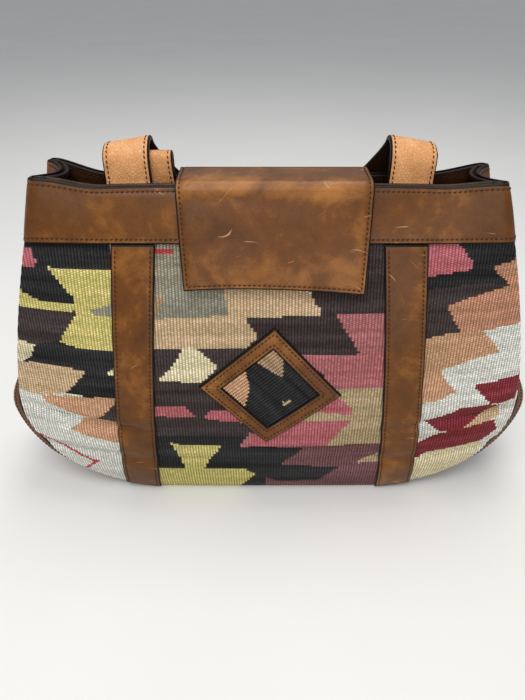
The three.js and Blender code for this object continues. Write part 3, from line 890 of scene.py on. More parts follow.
@dataclass
class Mouth:
    """The leather round the mouth and the cloth that hangs inside it."""

    loop: MouthLoop
    facing_height: float = 40.0
    lining_thickness: float = 1.0
    lining_gap: float = 0.7
    base_run: float = 60.0
    left_flare: float = 8.0
    right_flare: float = 4.5
    flare_start: float = 0.72
    edge_pale: float = 0.45
    edge_reach: float = 4.0
    handled_dark: float = 0.4
    wear_drift: float = 0.15
    wear_drift_length: float = 41.0
    lining_slack: float = 0.5
    lining_wave: float = 17.0
    lining_bend: float = 2.0
    lining_bend_height: float = 40.0
    base_close: float = 0.98

    def flared(self, spots: Array, across: Array, height: float) -> Array:
        """Raise the rim towards the two ends of the mouth, where the leather curls up.

        Args:
            spots: points on a sheet that hangs from the rim.
            across: distance down from the rim.
            height: the sheet's height.

        Returns:
            The same points, raised most at the rim.
        """
        x = spots[..., 0]
        reach = smooth_step(self.flare_start, 1.0, np.abs(x) / BODY.rim_half_width)
        flare = np.where(x < 0, self.left_flare, self.right_flare)
        spots[..., 2] += flare * reach * np.clip(1 - across / height, 0, 1)
        return spots

    def band_wear(self, across: Array, along: Array) -> Array:
        """Return how worn the band is: handled dark, and paler along both edges."""
        edge = np.minimum(across, BAND_HEIGHT - across)
        drift = self.wear_drift * np.sin(along / self.wear_drift_length)
        return self.edge_pale * bell(edge, self.edge_reach) - self.handled_dark + drift

    def band_place(self, across: Array, along: Array, lift: Array) -> Array:
        """Place the band: from the rim down, outside the panels and gusset."""
        spots = self.loop.offset(along, BODY.rim_height - across, lift, GAP - SEAM_LIFT)
        return self.flared(spots, across, BAND_HEIGHT)

    def facing_place(self, across: Array, along: Array, lift: Array) -> Array:
        """Place the facing: from the rim down, inside the panels and gusset."""
        spots = self.loop.offset(along, BODY.rim_height - across, -GAP - lift, -LEATHER_THICKNESS - GAP)
        return self.flared(spots, across, self.facing_height)

    def lining_place(self, across: Array, along: Array, lift: Array) -> Array:
        """Place the lining: down the inside, and then in over the base."""
        top = BODY.rim_height - self.facing_height - GAP
        foot = LEATHER_THICKNESS + self.lining_gap
        z = np.maximum(top - across, foot + np.where(across > top - foot, lift, 0))
        scale = 1 - np.clip((across - (top - foot)) / self.base_run, 0, self.base_close)
        wave = along / self.lining_wave + self.lining_bend * np.sin(z / self.lining_bend_height)
        slack = self.lining_slack * np.sin(wave) * np.sin(np.pi * np.clip(across / top, 0, 1))
        return self.loop.offset(along, z, -self.lining_gap - np.abs(slack) - lift, -LEATHER_THICKNESS, scale)

    def build(self) -> list[bpy.types.Object]:
        """Build the band, facing and lining.

        Returns:
            The three objects.
        """
        band = LeatherStrip("top_band", ("top_band",), self.band_place, BAND_HEIGHT, self.loop.length,
                            SMOOTH_LEATHER, base=SEAM_LIFT, ring=True, rows=420, wear=self.band_wear)
        facing = LeatherStrip("mouth_facing", ("inner_facing",), self.facing_place, self.facing_height,
                              self.loop.length, PAINTED_SHADE_FACING_LEATHER, ring=True, rows=320,
                              stitch_sides=(True, False), slot="dark_leather")
        foot_run = BODY.rim_height - self.facing_height - LEATHER_THICKNESS + self.base_run
        lining = LeatherStrip("cotton_lining", ("lining",), self.lining_place, foot_run, self.loop.length,
                              COTTON, thickness=self.lining_thickness, ring=True, rows=240, columns=70,
                              stitch_sides=(False, False), slot="cotton")
        made = [band.build(), facing.build(), lining.build()]
        made[2].data.materials[1] = COTTON.material()
        made[2].data.materials[2] = COTTON.material()
        made[1].data.materials[2] = PAINTED_SHADE_FACING_LEATHER.material()
        return made


@dataclass
class Gusset:
    """The leather strip down one side, under the bag and up the other side."""

    width: float = 96.0
    corner_bulge: float = 12.0
    bulge_edge_power: float = 16.0
    bulge_from: Span = (6.0, 40.0)
    bulge_to: Span = (80.0, 125.0)
    way_reach: float = 1.5
    corner_places: int = 40
    floor_places: int = 12

    def __post_init__(self) -> None:
        """Follow the body's outline from the left rim to the right rim."""
        turn = np.linspace(0, np.pi / 2, self.corner_places)
        low = BODY.corner_rise * (1 - np.cos(turn))
        high = np.linspace(BODY.corner_rise, BODY.rim_height, self.corner_places)[1:]
        z = np.concatenate([low, high])
        x = BODY.half_width(z)
        right = np.stack([x, z], axis=1)
        left = np.stack([-x, z], axis=1)[::-1]
        floor_x = np.linspace(-x[0], x[0], self.floor_places)[1:-1]
        floor = np.stack([floor_x, np.zeros_like(floor_x)], axis=1)
        self.path = np.concatenate([left, floor, right])
        self.run = run_of(self.path)
        self.length = float(self.run[-1])

    def place(self, across: Array, along: Array, lift: Array) -> Array:
        """Place the strip inside the outline, bulging at the lower corners and folded in near the mouth."""
        x, z = np.moveaxis(on_line(along, self.run, self.path), -1, 0)
        way = way_on_line(along, self.run, self.path, self.way_reach)
        share = 2 * across / self.width - 1
        inner = np.sign(x) * BODY.fold(share, z)
        corner = smooth_step(*self.bulge_from, z) * (1 - smooth_step(*self.bulge_to, z))
        lift = lift + self.corner_bulge * corner * (1 - np.abs(share) ** self.bulge_edge_power)
        return np.stack([x - inner + lift * way[..., 1], share * (BODY.seam_depth(z) - SEAM_GAP),
                         np.clip(z - lift * way[..., 0], 0, BODY.rim_height)], axis=-1)

    def build(self) -> bpy.types.Object:
        """Build the strip."""
        return LeatherStrip("gusset", ("gusset",), self.place, self.width, self.length, SMOOTH_LEATHER,
                            base=-LEATHER_THICKNESS, rows=150, columns=40).build()


@dataclass
class SewnStrap:
    """A strap sewn down a panel from the band to the foot."""

    face: str
    hand: int
    width: float = 30.0
    top_x: float = 92.0
    foot_x: float = 109.0
    foot_lift: float = 1.0
    length: float = 222.0

    def place(self, across: Array, along: Array, lift: Array) -> Array:
        """Place the strap on its panel."""
        up = along / self.length
        x = self.hand * (self.foot_x + (self.top_x - self.foot_x) * up) + across - self.width / 2
        low = BODY.lower_edge(x) + self.foot_lift
        z = low + (BODY.rim_height - BAND_HEIGHT - GAP - low) * up
        return BODY.face(-1 if self.face == "front" else 1, x, z, lift)

    def build(self) -> bpy.types.Object:
        """Build the strap."""
        name = f"{self.face}_{'left' if self.hand < 0 else 'right'}_strap"
        return LeatherStrip(name, (name,), self.place, self.width, self.length, SMOOTH_LEATHER,
                            base=SEAM_LIFT, rows=110).build()


@dataclass
class Flap:
    """The flap that folds over the mouth, its root at the back and its snap."""

    top_width: float = 131.0
    end_width: float = 123.0
    middle_x: float = 3.2
    thickness: float = 3.0
    drop: float = 62.5
    lift: float = 1.0
    standoff: float = 5.6
    fold_radius: float = 8.0
    tab_height: float = 30.0
    hollow_end: float = 2.6
    end_slant: float = 1.6
    spread_start: float = 0.35
    snap_inset: float = 16.0
    snap_mark: float = 0.8
    snap_mark_size: Span = (13.0, 11.0)
    ripple: float = 0.5
    fold_highlight_and_pale: float = 1.1
    fold_reach: float = 7.0
    dark_patch: float = 0.7
    dark_patch_spot: Span = (42.0, 26.0)
    dark_patch_size: Span = (34.0, 15.0)
    left_dark: float = 0.5
    left_reach: float = 22.0
    left_from: Span = (6.0, 16.0)
    end_pale: float = 0.55
    end_from: Span = (30.0, 55.0)
    way_reach: float = 1.0
    smooth_rounds: int = 6

    def __post_init__(self) -> None:
        """Draw the flap's line from its hinge, over the mouth and down the front, as y and z."""
        band_out = SEAM_LIFT + LEATHER_THICKNESS
        rim_depth = float(BODY.depth(0, BODY.rim_height))
        self.hinge_y = rim_depth + band_out + GAP + LEATHER_THICKNESS / 2
        self.hinge_z = BODY.rim_height + self.lift + self.thickness / 2
        self.end_z = BODY.rim_height - self.drop
        fold_z = self.hinge_z - self.fold_radius
        fold_y = float(self.front_y(np.array(fold_z))) + self.fold_radius
        over = np.stack([np.linspace(self.hinge_y, fold_y, 16), np.full(16, self.hinge_z)], axis=1)
        turn = np.linspace(0, np.pi / 2, 14)[1:]
        fold = np.stack([fold_y - self.fold_radius * np.sin(turn),
                         fold_z + self.fold_radius * np.cos(turn)], axis=1)
        z = np.linspace(fold_z, self.end_z, 40)[1:]
        self.line = np.concatenate([over, fold, np.stack([self.front_y(z), z], axis=1)])
        for _ in range(self.smooth_rounds):
            self.line[1:-1] = (self.line[:-2] + 2 * self.line[1:-1] + self.line[2:]) / 4
        self.run = run_of(self.line)
        self.length = float(self.run[-1])
        self.fold_at = float(np.interp(fold_y, self.line[::-1, 0], self.run[::-1])) + self.fold_radius

    def wear(self, across: Array, along: Array) -> Array:
        """Return the flap's marks: a painted highlight with pull-up paling on its fold, paler towards its
        end, darker in a patch and at its left.
        """
        past_fold = along - self.fold_at
        spot_x, spot_z = self.dark_patch_spot
        size_x, size_z = self.dark_patch_size
        # Painted highlight along the fold, on top of the paling of the bent pull-up leather.
        fold = self.fold_highlight_and_pale * bell(past_fold, self.fold_reach)
        # A darker patch on the flap, left of its middle and below the fold.
        darkened_patch = self.dark_patch * bell(across - spot_x, size_x) * bell(past_fold - spot_z, size_z)
        left = self.left_dark * bell(across, self.left_reach) * smooth_step(*self.left_from, past_fold)
        end = self.end_pale * smooth_step(*self.end_from, past_fold)
        return fold + end - darkened_patch - left

    def front_y(self, z: Array) -> Array:
        """Return the y of the flap's middle surface in front of the band and panel."""
        down = np.clip((self.hinge_z - z) / (self.hinge_z - self.end_z), 0, 1)
        near = SEAM_LIFT + LEATHER_THICKNESS + 2 * GAP
        off = near + (KILIM_THICKNESS + self.standoff - near) * down
        return -(BODY.depth(0, z) - BODY.sag(np.zeros_like(z), z) + off + self.thickness / 2)

    def place(self, across: Array, along: Array, lift: Array) -> Array:
        """Place the flap along its line, its free end hollowed and a little slanted."""
        share = 2 * across / self.top_width - 1
        down = along / self.length
        hollow = self.hollow_end * (1 - share ** 2) * down ** 4
        along = along - hollow + self.end_slant * share * down ** 2
        y, z = np.moveaxis(on_line(along, self.run, self.line), -1, 0)
        way = way_on_line(along, self.run, self.line, self.way_reach)
        spread = np.clip((down - self.spread_start) / (1 - self.spread_start), 0, 1)
        width = self.top_width + (self.end_width - self.top_width) * spread
        size_x, size_z = self.snap_mark_size
        mark = bell(across - self.top_width / 2, size_x) * bell(self.length - self.snap_inset - along, size_z)
        ease = self.snap_mark * mark - self.ripple * np.sin(share * 5 + down * 4) * spread
        out = lift - self.thickness / 2 + ease
        x = self.middle_x + share * width / 2
        return np.stack([x, y + out * way[..., 1], z - out * way[..., 0]], axis=-1)

    def tab_place(self, across: Array, along: Array, lift: Array) -> Array:
        """Place the flap's root on the outside of the band at the back."""
        x = self.middle_x + across - self.top_width / 2
        z = BODY.rim_height - self.tab_height + along
        return BODY.face(1, x, z, SEAM_LIFT + LEATHER_THICKNESS + GAP + lift)

    def build(self) -> list[bpy.types.Object]:
        """Build the flap and its root, and plate the snap.

        Returns:
            The flap and the root.
        """
        flap = LeatherStrip("flap", ("flap",), self.place, self.top_width, self.length, SMOOTH_LEATHER,
                            thickness=self.thickness, rows=80, columns=40, stitch_ends=(False, True),
                            wear=self.wear)
        tab_length = self.tab_height + self.hinge_z - BODY.rim_height
        tab = LeatherStrip("flap_root", ("flap_tab",), self.tab_place, self.top_width, tab_length,
                           SMOOTH_LEATHER, rows=12, columns=40, stitch_ends=(True, False))
        for name in ("snap_socket", "snap_stud"):
            plated = frame["nodes"][name]
            plated.data.materials.clear()
            plated.data.materials.append(NICKEL.material())
        return [flap.build(), tab.build()]


@dataclass
class StrapHandle:
    """A strap handle: two legs tucked inside the facing, each with a bend, and the loop between them."""

    name: str
    nodes: tuple[str, ...]
    side: int
    half_span: float
    shift: float
    rise: float
    bend: float
    turn_deg: float
    arch: float
    arch_power: float
    slant: float
    width: float = 31.0
    thickness: float = 3.0
    tuck: float = 22.0
    twist_start: float = 0.45
    pillow: float = 0.35
    pillow_length: float = 6.5
    pillow_width: float = 9.0
    pillow_swell: float = 15.0
    tuck_places: int = 8
    bend_places: int = 24
    loop_places: int = 97
    turn_step: float = 1e-3

    def __post_init__(self) -> None:
        """Draw the strap's middle line with its normals and width directions."""
        sections = self.leg(-1) + self.loop() + self.leg(1)[::-1]
        lines = np.array([np.concatenate([*map(np.asarray, s[:3]), [s[3]]]) for s in sections], float)
        step = np.linalg.norm(np.diff(lines[:, :3], axis=0), axis=1)
        self.lines = lines[np.concatenate([[True], step > 1e-6])]
        self.run = run_of(self.lines[:, :3])
        self.length = float(self.run[-1])

    @property
    def way(self) -> int:
        """Return 1 where the bend turns backwards, -1 where it turns forwards."""
        return 1 if self.turn_deg > 0 else -1

    def leg_y(self, z: Array) -> Array:
        """Return where a leg stands at a height, clear of the facing."""
        edge = self.half_span - abs(self.shift) - self.width / 2
        inside = BODY.depth(edge, z) - BODY.sag(np.full_like(z, edge), z)
        return self.side * (inside - 2 * GAP - LEATHER_THICKNESS - self.thickness / 2)

    @property
    def centre(self) -> tuple[float, float]:
        """Return the y and z of the middle of the bend."""
        rim = np.array(BODY.rim_height)
        return float(self.leg_y(rim)) + self.way * self.bend, BODY.rim_height + self.rise

    def leg(self, hand: int) -> list[tuple[Any, ...]]:
        """Return the sections of one leg, from its foot up and over the bend.

        Args:
            hand: -1 for the left leg and 1 for the right leg.

        Returns:
            Middle, normal, width direction and a weight for the slanted bend, for each section.
        """
        x = self.shift + hand * self.half_span
        centre_y, centre_z = self.centre
        sections = []
        across = (-hand, 0, 0)
        for z in np.linspace(BODY.rim_height - self.tuck, BODY.rim_height, self.tuck_places):
            sections.append(((x, float(self.leg_y(np.array(z))), z), (0, -self.way, 0), across, 0.0))
        for turn in np.linspace(0, math.radians(abs(self.turn_deg)), self.bend_places):
            y = -self.way * math.cos(turn)
            z = math.sin(turn)
            middle = (x, centre_y + self.bend * y, centre_z + self.bend * z)
            sections.append((middle, (0, y, z), across, -hand * math.sin(min(turn, math.pi / 2))))
        return sections

    def loop(self) -> list[tuple[Any, ...]]:
        """Return the sections of the loop, drawn upright and turned over about the bend."""
        centre_y, centre_z = self.centre
        power = 2 / self.arch_power
        angle = -math.radians(self.turn_deg)
        cos_a = math.cos(angle)
        sin_a = math.sin(angle)

        def spot(turn: float) -> Array:
            """Return a place on the upright loop."""
            c = math.cos(turn)
            s = max(0.0, math.sin(turn))
            x = -math.copysign(abs(c) ** power, c) * self.half_span
            return np.array([self.shift + x, -self.way * self.bend, GAP + s ** power * self.arch])

        def turned(v: Array) -> Array:
            """Turn a place or direction over about the bend."""
            return np.array([v[0], v[1] * cos_a - v[2] * sin_a, v[1] * sin_a + v[2] * cos_a])

        sections = []
        for turn in np.linspace(0, math.pi, self.loop_places):
            tangent = unit(spot(min(math.pi, turn + self.turn_step)) - spot(max(0.0, turn - self.turn_step)))
            height = max(0.0, math.sin(turn)) ** power
            twist = float(smooth_step(self.twist_start, 1.0, np.array(height))) * math.pi / 2
            outward = np.array([-tangent[2], 0, tangent[0]])
            normal = np.array([0, -self.way, 0]) * math.cos(twist) + outward * math.sin(twist)
            width = np.cross(tangent, normal) * self.way
            ease = (1 - float(smooth_step(0.0, 0.5, np.array(height)))) * (1 if turn < math.pi / 2 else -1)
            middle = turned(spot(turn)) + [0, centre_y, centre_z]
            sections.append((middle, turned(normal), turned(width), ease))
        return sections

    def place(self, across: Array, along: Array, lift: Array) -> Array:
        """Place the strap along its line, its bends slanted and its face softly uneven."""
        middle, normal, width, bent = np.split(on_line(along, self.run, self.lines), (3, 6, 9), axis=-1)
        off = across - self.width / 2
        wave = np.sin(along / self.pillow_length + off / self.pillow_width)
        pillow = self.pillow * wave * np.sin(along / self.pillow_swell)
        out = lift - self.thickness / 2 + pillow
        points = middle + width * off[..., None] + normal * out[..., None]
        points[..., 2] += self.slant * off * np.abs(bent[..., 0])
        return points

    def build(self) -> bpy.types.Object:
        """Build the strap in one piece."""
        return LeatherStrip(self.name, self.nodes, self.place, self.width, self.length, PEBBLED_LEATHER_AND_HIGHLIGHT,
                            thickness=self.thickness, rows=220, columns=12).build()


YARN_SPREAD = 0.8


@dataclass(frozen=True)
class Motif:
    """One field of colour in the weave, with its corners in millimetres."""

    dye: Dye
    corners: tuple[tuple[float, float], ...]

    def holds(self, x: Array, z: Array) -> Array:
        """Return which points lie inside the field or just outside it, so that neighbours meet."""
        shifts = ((0, 0), (YARN_SPREAD, 0), (-YARN_SPREAD, 0), (0, YARN_SPREAD), (0, -YARN_SPREAD))
        return np.any([self.surrounds(x + dx, z + dz) for dx, dz in shifts], axis=0)

    def surrounds(self, x: Array, z: Array) -> Array:
        """Return which points lie inside the field."""
        inside = np.zeros(np.shape(x), bool)
        previous = self.corners[-1]
        for corner in self.corners:
            (x0, z0), (x1, z1) = previous, corner
            crosses = (z0 > z) != (z1 > z)
            at = x0 + (z - z0) * (x1 - x0) / (z1 - z0 if z1 != z0 else 1e-9)
            inside ^= crosses & (x < at)
            previous = corner
        return inside


FRONT_MOTIFS = (
    Motif(Dye.CHARCOAL, ((-205, 240), (-108, 240), (-109, 204), (-141, 203), (-152, 204), (-145, 194),
                         (-136, 184), (-136, 180), (-163, 179), (-176, 185), (-205, 190))),
    Motif(Dye.PINK, ((-172, 216), (-163, 216), (-161, 207), (-164, 204), (-175, 206))),
    Motif(Dye.CHARTREUSE, ((-152, 204), (-141, 203), (-105, 204), (-108, 147), (-137, 146), (-155, 150),
                           (-148, 159), (-137, 173), (-205, 171), (-205, 188), (-176, 185), (-163, 179),
                           (-136, 180), (-136, 184), (-145, 194))),
    Motif(Dye.PALE, ((-125, 176), (-105, 182), (-105, 174), (-124, 174))),
    Motif(Dye.WALNUT, ((-205, 172), (-137, 174), (-148, 159), (-154, 150), (-173, 145), (-205, 149))),
    Motif(Dye.CREAM, ((-205, 150), (-173, 144), (-179, 134), (-205, 128))),
    Motif(Dye.CHARCOAL, ((-173, 145), (-154, 150), (-138, 146), (-108, 147), (-108, 108), (-126, 107),
                         (-155, 109), (-137, 128), (-157, 130), (-187, 128), (-179, 134))),
    Motif(Dye.CREAM, ((-120, 129), (-108, 137), (-108, 127))),
    Motif(Dye.OAT, ((-205, 128), (-157, 130), (-137, 128), (-155, 109), (-178, 104), (-205, 104))),
    Motif(Dye.PEACH, ((-176, 103), (-148, 106), (-112, 107), (-132, 89), (-140, 86), (-159, 94),
                      (-173, 99))),
    Motif(Dye.WALNUT, ((-112, 108), (-129, 91), (-135, 87), (-112, 85))),
    Motif(Dye.PEACH, ((-159, 73), (-140, 86), (-112, 85), (-115, 62), (-133, 66), (-150, 70))),
    Motif(Dye.SCARLET, ((-205, 66), (-147, 36.5), (-142, 36.5), (-156, 22), (-157, 22.5), (-146, 35),
                        (-205, 64.5))),
    Motif(Dye.PALE, ((-88, 240), (2, 240), (2, 178), (-88, 178))),
    Motif(Dye.SCARLET, ((-80, 216), (-66, 216), (-66, 215), (-80, 215))),
    Motif(Dye.TAN, ((-92, 187), (-70, 187), (-78, 170), (-92, 170))),
    Motif(Dye.SAGE, ((-71, 192), (-30, 192), (-28, 172), (-42, 170), (-79, 169))),
    Motif(Dye.OAT, ((-31, 194), (0, 194), (0, 172), (-16, 171), (-28, 173))),
    Motif(Dye.OAT, ((-96, 170), (-28, 173), (-16, 171), (-7, 159), (-17, 149), (-96, 149))),
    Motif(Dye.WALNUT, ((-98, 149), (-17, 149), (-7, 159), (-16, 171), (2, 172), (2, 61), (-105, 71))),
    Motif(Dye.CREAM, ((-61, 150), (-53, 150), (-38, 136), (-50, 123), (-80, 126), (-70, 136))),
    Motif(Dye.PINK, ((-98, 101), (-64, 101), (-58, 92), (-98, 94))),
    Motif(Dye.PINK, ((-50, 91), (-44, 97), (-27, 96), (-21, 87), (-44, 89))),
    Motif(Dye.CHARCOAL, ((-105, 71), (-21, 71), (1, 61), (6, 0), (-110, 0))),
    Motif(Dye.ROSE, ((-23, 61), (-14, 76), (1, 66), (1, 60))),
    Motif(Dye.CHARTREUSE, ((-78, 64), (-70, 60), (-48, 61), (-39, 60), (-47, 47), (-54, 33), (-55, 29),
                           (-67, 29), (-72, 44), (-75, 58))),
    Motif(Dye.CHARTREUSE, ((-105, 30), (-7, 31), (-26, 0), (-110, 0))),
    Motif(Dye.WALNUT, ((0, 240), (95, 240), (95, 173), (32, 173), (31, 187))),
    Motif(Dye.OAT, ((-17, 200), (27, 190), (32, 183), (37, 178), (36, 174), (-17, 171))),
    Motif(Dye.MADDER, ((10, 150), (98, 150), (102, 116), (51, 116), (30, 127))),
    Motif(Dye.WALNUT, ((31, 185), (95, 185), (95, 174), (49, 174), (65, 148), (62, 146), (21, 147),
                       (2, 160), (-8, 160), (-16, 171), (36, 174), (37, 178))),
    Motif(Dye.WALNUT, ((0, 150), (40, 130), (22, 97), (10, 78), (0, 78))),
    Motif(Dye.ROSE, ((48, 174), (96, 174), (98, 147), (65, 148), (59, 158))),
    Motif(Dye.SAGE_CREAM, ((40, 118), (104, 118), (106, 63), (44, 60), (10, 80), (20, 97))),
    Motif(Dye.PINK, ((50, 112), (61, 102), (64, 95), (30, 99))),
    Motif(Dye.PINK, ((10, 88), (62, 87), (53, 74), (45, 60), (-14, 62), (-13, 74))),
    Motif(Dye.MAUVE, ((-2, 61), (46, 61), (108, 63), (112, 0), (-2, 0))),
    Motif(Dye.SAGE_CREAM, ((108, 64), (75, 39), (110, 42))),
    Motif(Dye.CHARCOAL, ((-16, 61), (27, 59), (8, 35), (58, 34), (43, 15), (8, 12), (-17, 30))),
    Motif(Dye.CHARCOAL, ((98, 240), (205, 240), (205, 190), (174, 184), (156, 184), (126, 177),
                         (100, 174))),
    Motif(Dye.PINK, ((98, 219), (129, 219), (140, 207), (138, 204), (98, 199))),
    Motif(Dye.WALNUT, ((98, 189), (146, 193), (205, 188), (176, 184), (156, 184), (126, 177), (98, 173))),
    Motif(Dye.SALMON, ((155, 204), (175, 209), (178, 184), (167, 194))),
    Motif(Dye.SALMON, ((124, 178), (140, 183), (168, 190), (205, 194), (205, 163), (156, 160), (138, 158),
                       (129, 171))),
    Motif(Dye.WALNUT, ((98, 176), (124, 178), (138, 159), (121, 157), (98, 151))),
    Motif(Dye.PEACH, ((98, 152), (121, 157), (153, 160), (171, 141), (148, 137), (128, 131), (128, 126),
                      (141, 111), (129, 105), (100, 101))),
    Motif(Dye.CRIMSON, ((157, 114), (205, 118), (205, 95), (173, 98))),
    Motif(Dye.CRIMSON, ((122, 84), (147, 96), (173, 96), (182, 93), (171, 87), (155, 73), (148, 72),
                        (134, 75))),
    Motif(Dye.OAT, ((152, 73), (182, 92), (184, 82), (168, 76))),
    Motif(Dye.CRIMSON, ((112, 36), (119, 61), (132, 70), (181, 78), (186, 66), (172, 52), (131, 47))),
    Motif(Dye.CREAM, ((112, 30), (131, 47), (174, 54), (180, 46), (158, 12), (112, 0))),
)
PATCH_MOTIFS = (
    Motif(Dye.PEACH, ((-40, 0), (-20, 15), (-16, 2), (-19, -19))),
    Motif(Dye.TAN, ((0, 36), (7, 25), (8, 12), (-13, 24))),
    Motif(Dye.SAGE_CREAM, ((11, -9), (16, -8), (12, -13))),
)
RIB_PITCH = 2.25
WEFT_PITCH = 1.5
RIB_HEIGHT = 0.55


def grid_faces(rows: int, cols: int, first: int = 0) -> list[list[int]]:
    """List the quads of a grid of points, rows first.

    Args:
        rows: how many rows of points.
        cols: how many columns of points.
        first: the index of the grid's first point.

    Returns:
        The quads, facing -Y where columns run to +X and rows up.
    """
    r, c = np.meshgrid(np.arange(rows - 1), np.arange(cols - 1), indexing="ij")
    corner = first + r * cols + c
    return np.stack([corner, corner + 1, corner + cols + 1, corner + cols], axis=-1).reshape(-1, 4).tolist()


def border_of(rows: int, cols: int) -> list[list[int]]:
    """List the four border runs of a grid, each anticlockwise, as point indices."""
    last = (rows - 1) * cols
    return [
        list(range(cols)),
        list(range(cols - 1, rows * cols, cols)),
        list(range(last + cols - 1, last - 1, -1)),
        list(range(last, -1, -cols)),
    ]


@dataclass
class Weave:
    """A woven piece: its colours change only between ribs and between wefts, over a plain back.

    Attributes:
        name: the piece's name.
        x: each grid place across the pattern, rows first.
        z: each grid place up the pattern.
        front: the points of the face.
        back: the points of the back, at the same places.
        map: rib and weft coordinates of each place.
        motifs: the fields of colour, later ones over earlier ones.
        ground: the colour where no field lies.
        columns_per_rib: how many grid columns make one rib.
        back_step: how many rows make one row of the back.
        backing_and_seam_shade: the colour of the back and of the turned-in edges, where its dark paints shade
            into the seams.
    """

    name: str
    x: Array
    z: Array
    front: Array
    back: Array
    map: Array
    motifs: tuple[Motif, ...]
    ground: Dye
    columns_per_rib: int = 3
    back_step: int = 6
    backing_and_seam_shade: Dye = Dye.WALNUT

    def dyes_of_faces(self) -> tuple[list[Dye], Array]:
        """Return the dyes used, the ground first, and each front face's place among them."""
        cols = self.x.shape[1]
        left = np.arange(cols - 1) // self.columns_per_rib * self.columns_per_rib
        right = np.minimum(left + self.columns_per_rib, cols - 1)
        middle = [(a[:-1, left] + a[:-1, right] + a[1:, left] + a[1:, right]) / 4 for a in (self.x, self.z)]
        dyes = [self.ground] + [d for d in Dye if d is not self.ground]
        slot = np.zeros(middle[0].shape, np.int32)
        for motif in self.motifs:
            slot[motif.holds(*middle)] = dyes.index(motif.dye)
        used = sorted(set(slot.ravel().tolist()) | {0, dyes.index(self.backing_and_seam_shade)})
        return [dyes[i] for i in used], np.searchsorted(np.array(used), slot).ravel()

    def build(self) -> bpy.types.Object:
        """Build the piece, closed to its own thickness.

        Returns:
            The new object.
        """
        rows, cols = self.x.shape
        dyes, slots = self.dyes_of_faces()
        tall = np.ptp(np.stack([self.z[:-1, :-1], self.z[:-1, 1:], self.z[1:, :-1], self.z[1:, 1:]]), axis=0)
        kept = tall.ravel() > 1e-6
        faces = [face for face, keep in zip(grid_faces(rows, cols), kept) if keep]
        step_r = self.back_step
        step_c = self.columns_per_rib
        back = self.back[::step_r, ::step_c]
        first = rows * cols
        back_faces = [face[::-1] for face in grid_faces(*back.shape[:2], first)]
        walls = []
        borders = zip(border_of(rows, cols), border_of(*back.shape[:2]), (step_c, step_r) * 2)
        for run, back_run, step in borders:
            for i in range(len(back_run) - 1):
                edge = run[i * step:(i + 1) * step + 1]
                walls.append(edge[::-1] + [first + back_run[i], first + back_run[i + 1]])
        points = np.concatenate([self.front.reshape(-1, 3), back.reshape(-1, 3)])
        # The turned-in edges take the dark walnut as painted shade for the seams beside the gusset.
        plain = np.full(len(back_faces) + len(walls), dyes.index(self.backing_and_seam_shade))
        piece = mesh_object(self.name, points, faces + back_faces + walls, [DyedWool(d) for d in dyes],
                            np.concatenate([slots[kept], plain]))
        places = np.concatenate([self.map.reshape(-1, 2), self.map[::step_r, ::step_c].reshape(-1, 2)])
        layer = piece.data.uv_layers.new(name="weave")
        corner = np.empty(len(piece.data.loops), np.int32)
        piece.data.loops.foreach_get("vertex_index", corner)
        layer.data.foreach_set("uv", places[corner].ravel())
        return piece


@dataclass
class KilimPanel:
    """One woven side of the bag, cut to the body's outline, with real ribs."""

    name: str
    side: int
    motifs: tuple[Motif, ...]
    columns_per_rib: int = 3
    hidden_top: float = 14.0
    hidden_sink: float = 0.4
    rib_sink: float = 0.3

    def build(self) -> bpy.types.Object:
        """Build the panel.

        Returns:
            The panel, closed to its own thickness.
        """
        half = BODY.belly_half_width
        ribs = int(round(2 * half / RIB_PITCH))
        across = np.linspace(-half, half, ribs * self.columns_per_rib + 1)
        band_z = BODY.rim_height - BAND_HEIGHT
        low = BODY.lower_edge(across)
        high = np.minimum(BODY.upper_edge(across), band_z + self.hidden_top)
        wefts = np.arange(0.0, band_z + self.hidden_top + WEFT_PITCH, WEFT_PITCH)
        z = np.clip(wefts[:, None], low[None], high[None])
        x = np.broadcast_to(-self.side * across[None], z.shape)
        in_rib = np.arange(len(across)) % self.columns_per_rib
        under_band = smooth_step(band_z - 1, band_z + 4, z)
        ribbing = np.where(in_rib == 0, 0.0, RIB_HEIGHT)[None] * (1 - under_band)
        ribbing = ribbing - self.hidden_sink * under_band
        front = BODY.face(self.side, x, z, KILIM_THICKNESS - self.rib_sink + ribbing)
        back = BODY.face(self.side, x, z, 0.0)
        rib_number = np.broadcast_to(np.arange(len(across)) / self.columns_per_rib, z.shape)
        weave = np.stack([rib_number, z / WEFT_PITCH], axis=-1)
        piece = Weave(self.name, -self.side * x, z, front, back, weave, self.motifs, Dye.MINT,
                      self.columns_per_rib).build()
        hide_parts(self.name)
        log.info("%s: %d vertices", self.name, len(piece.data.vertices))
        return piece


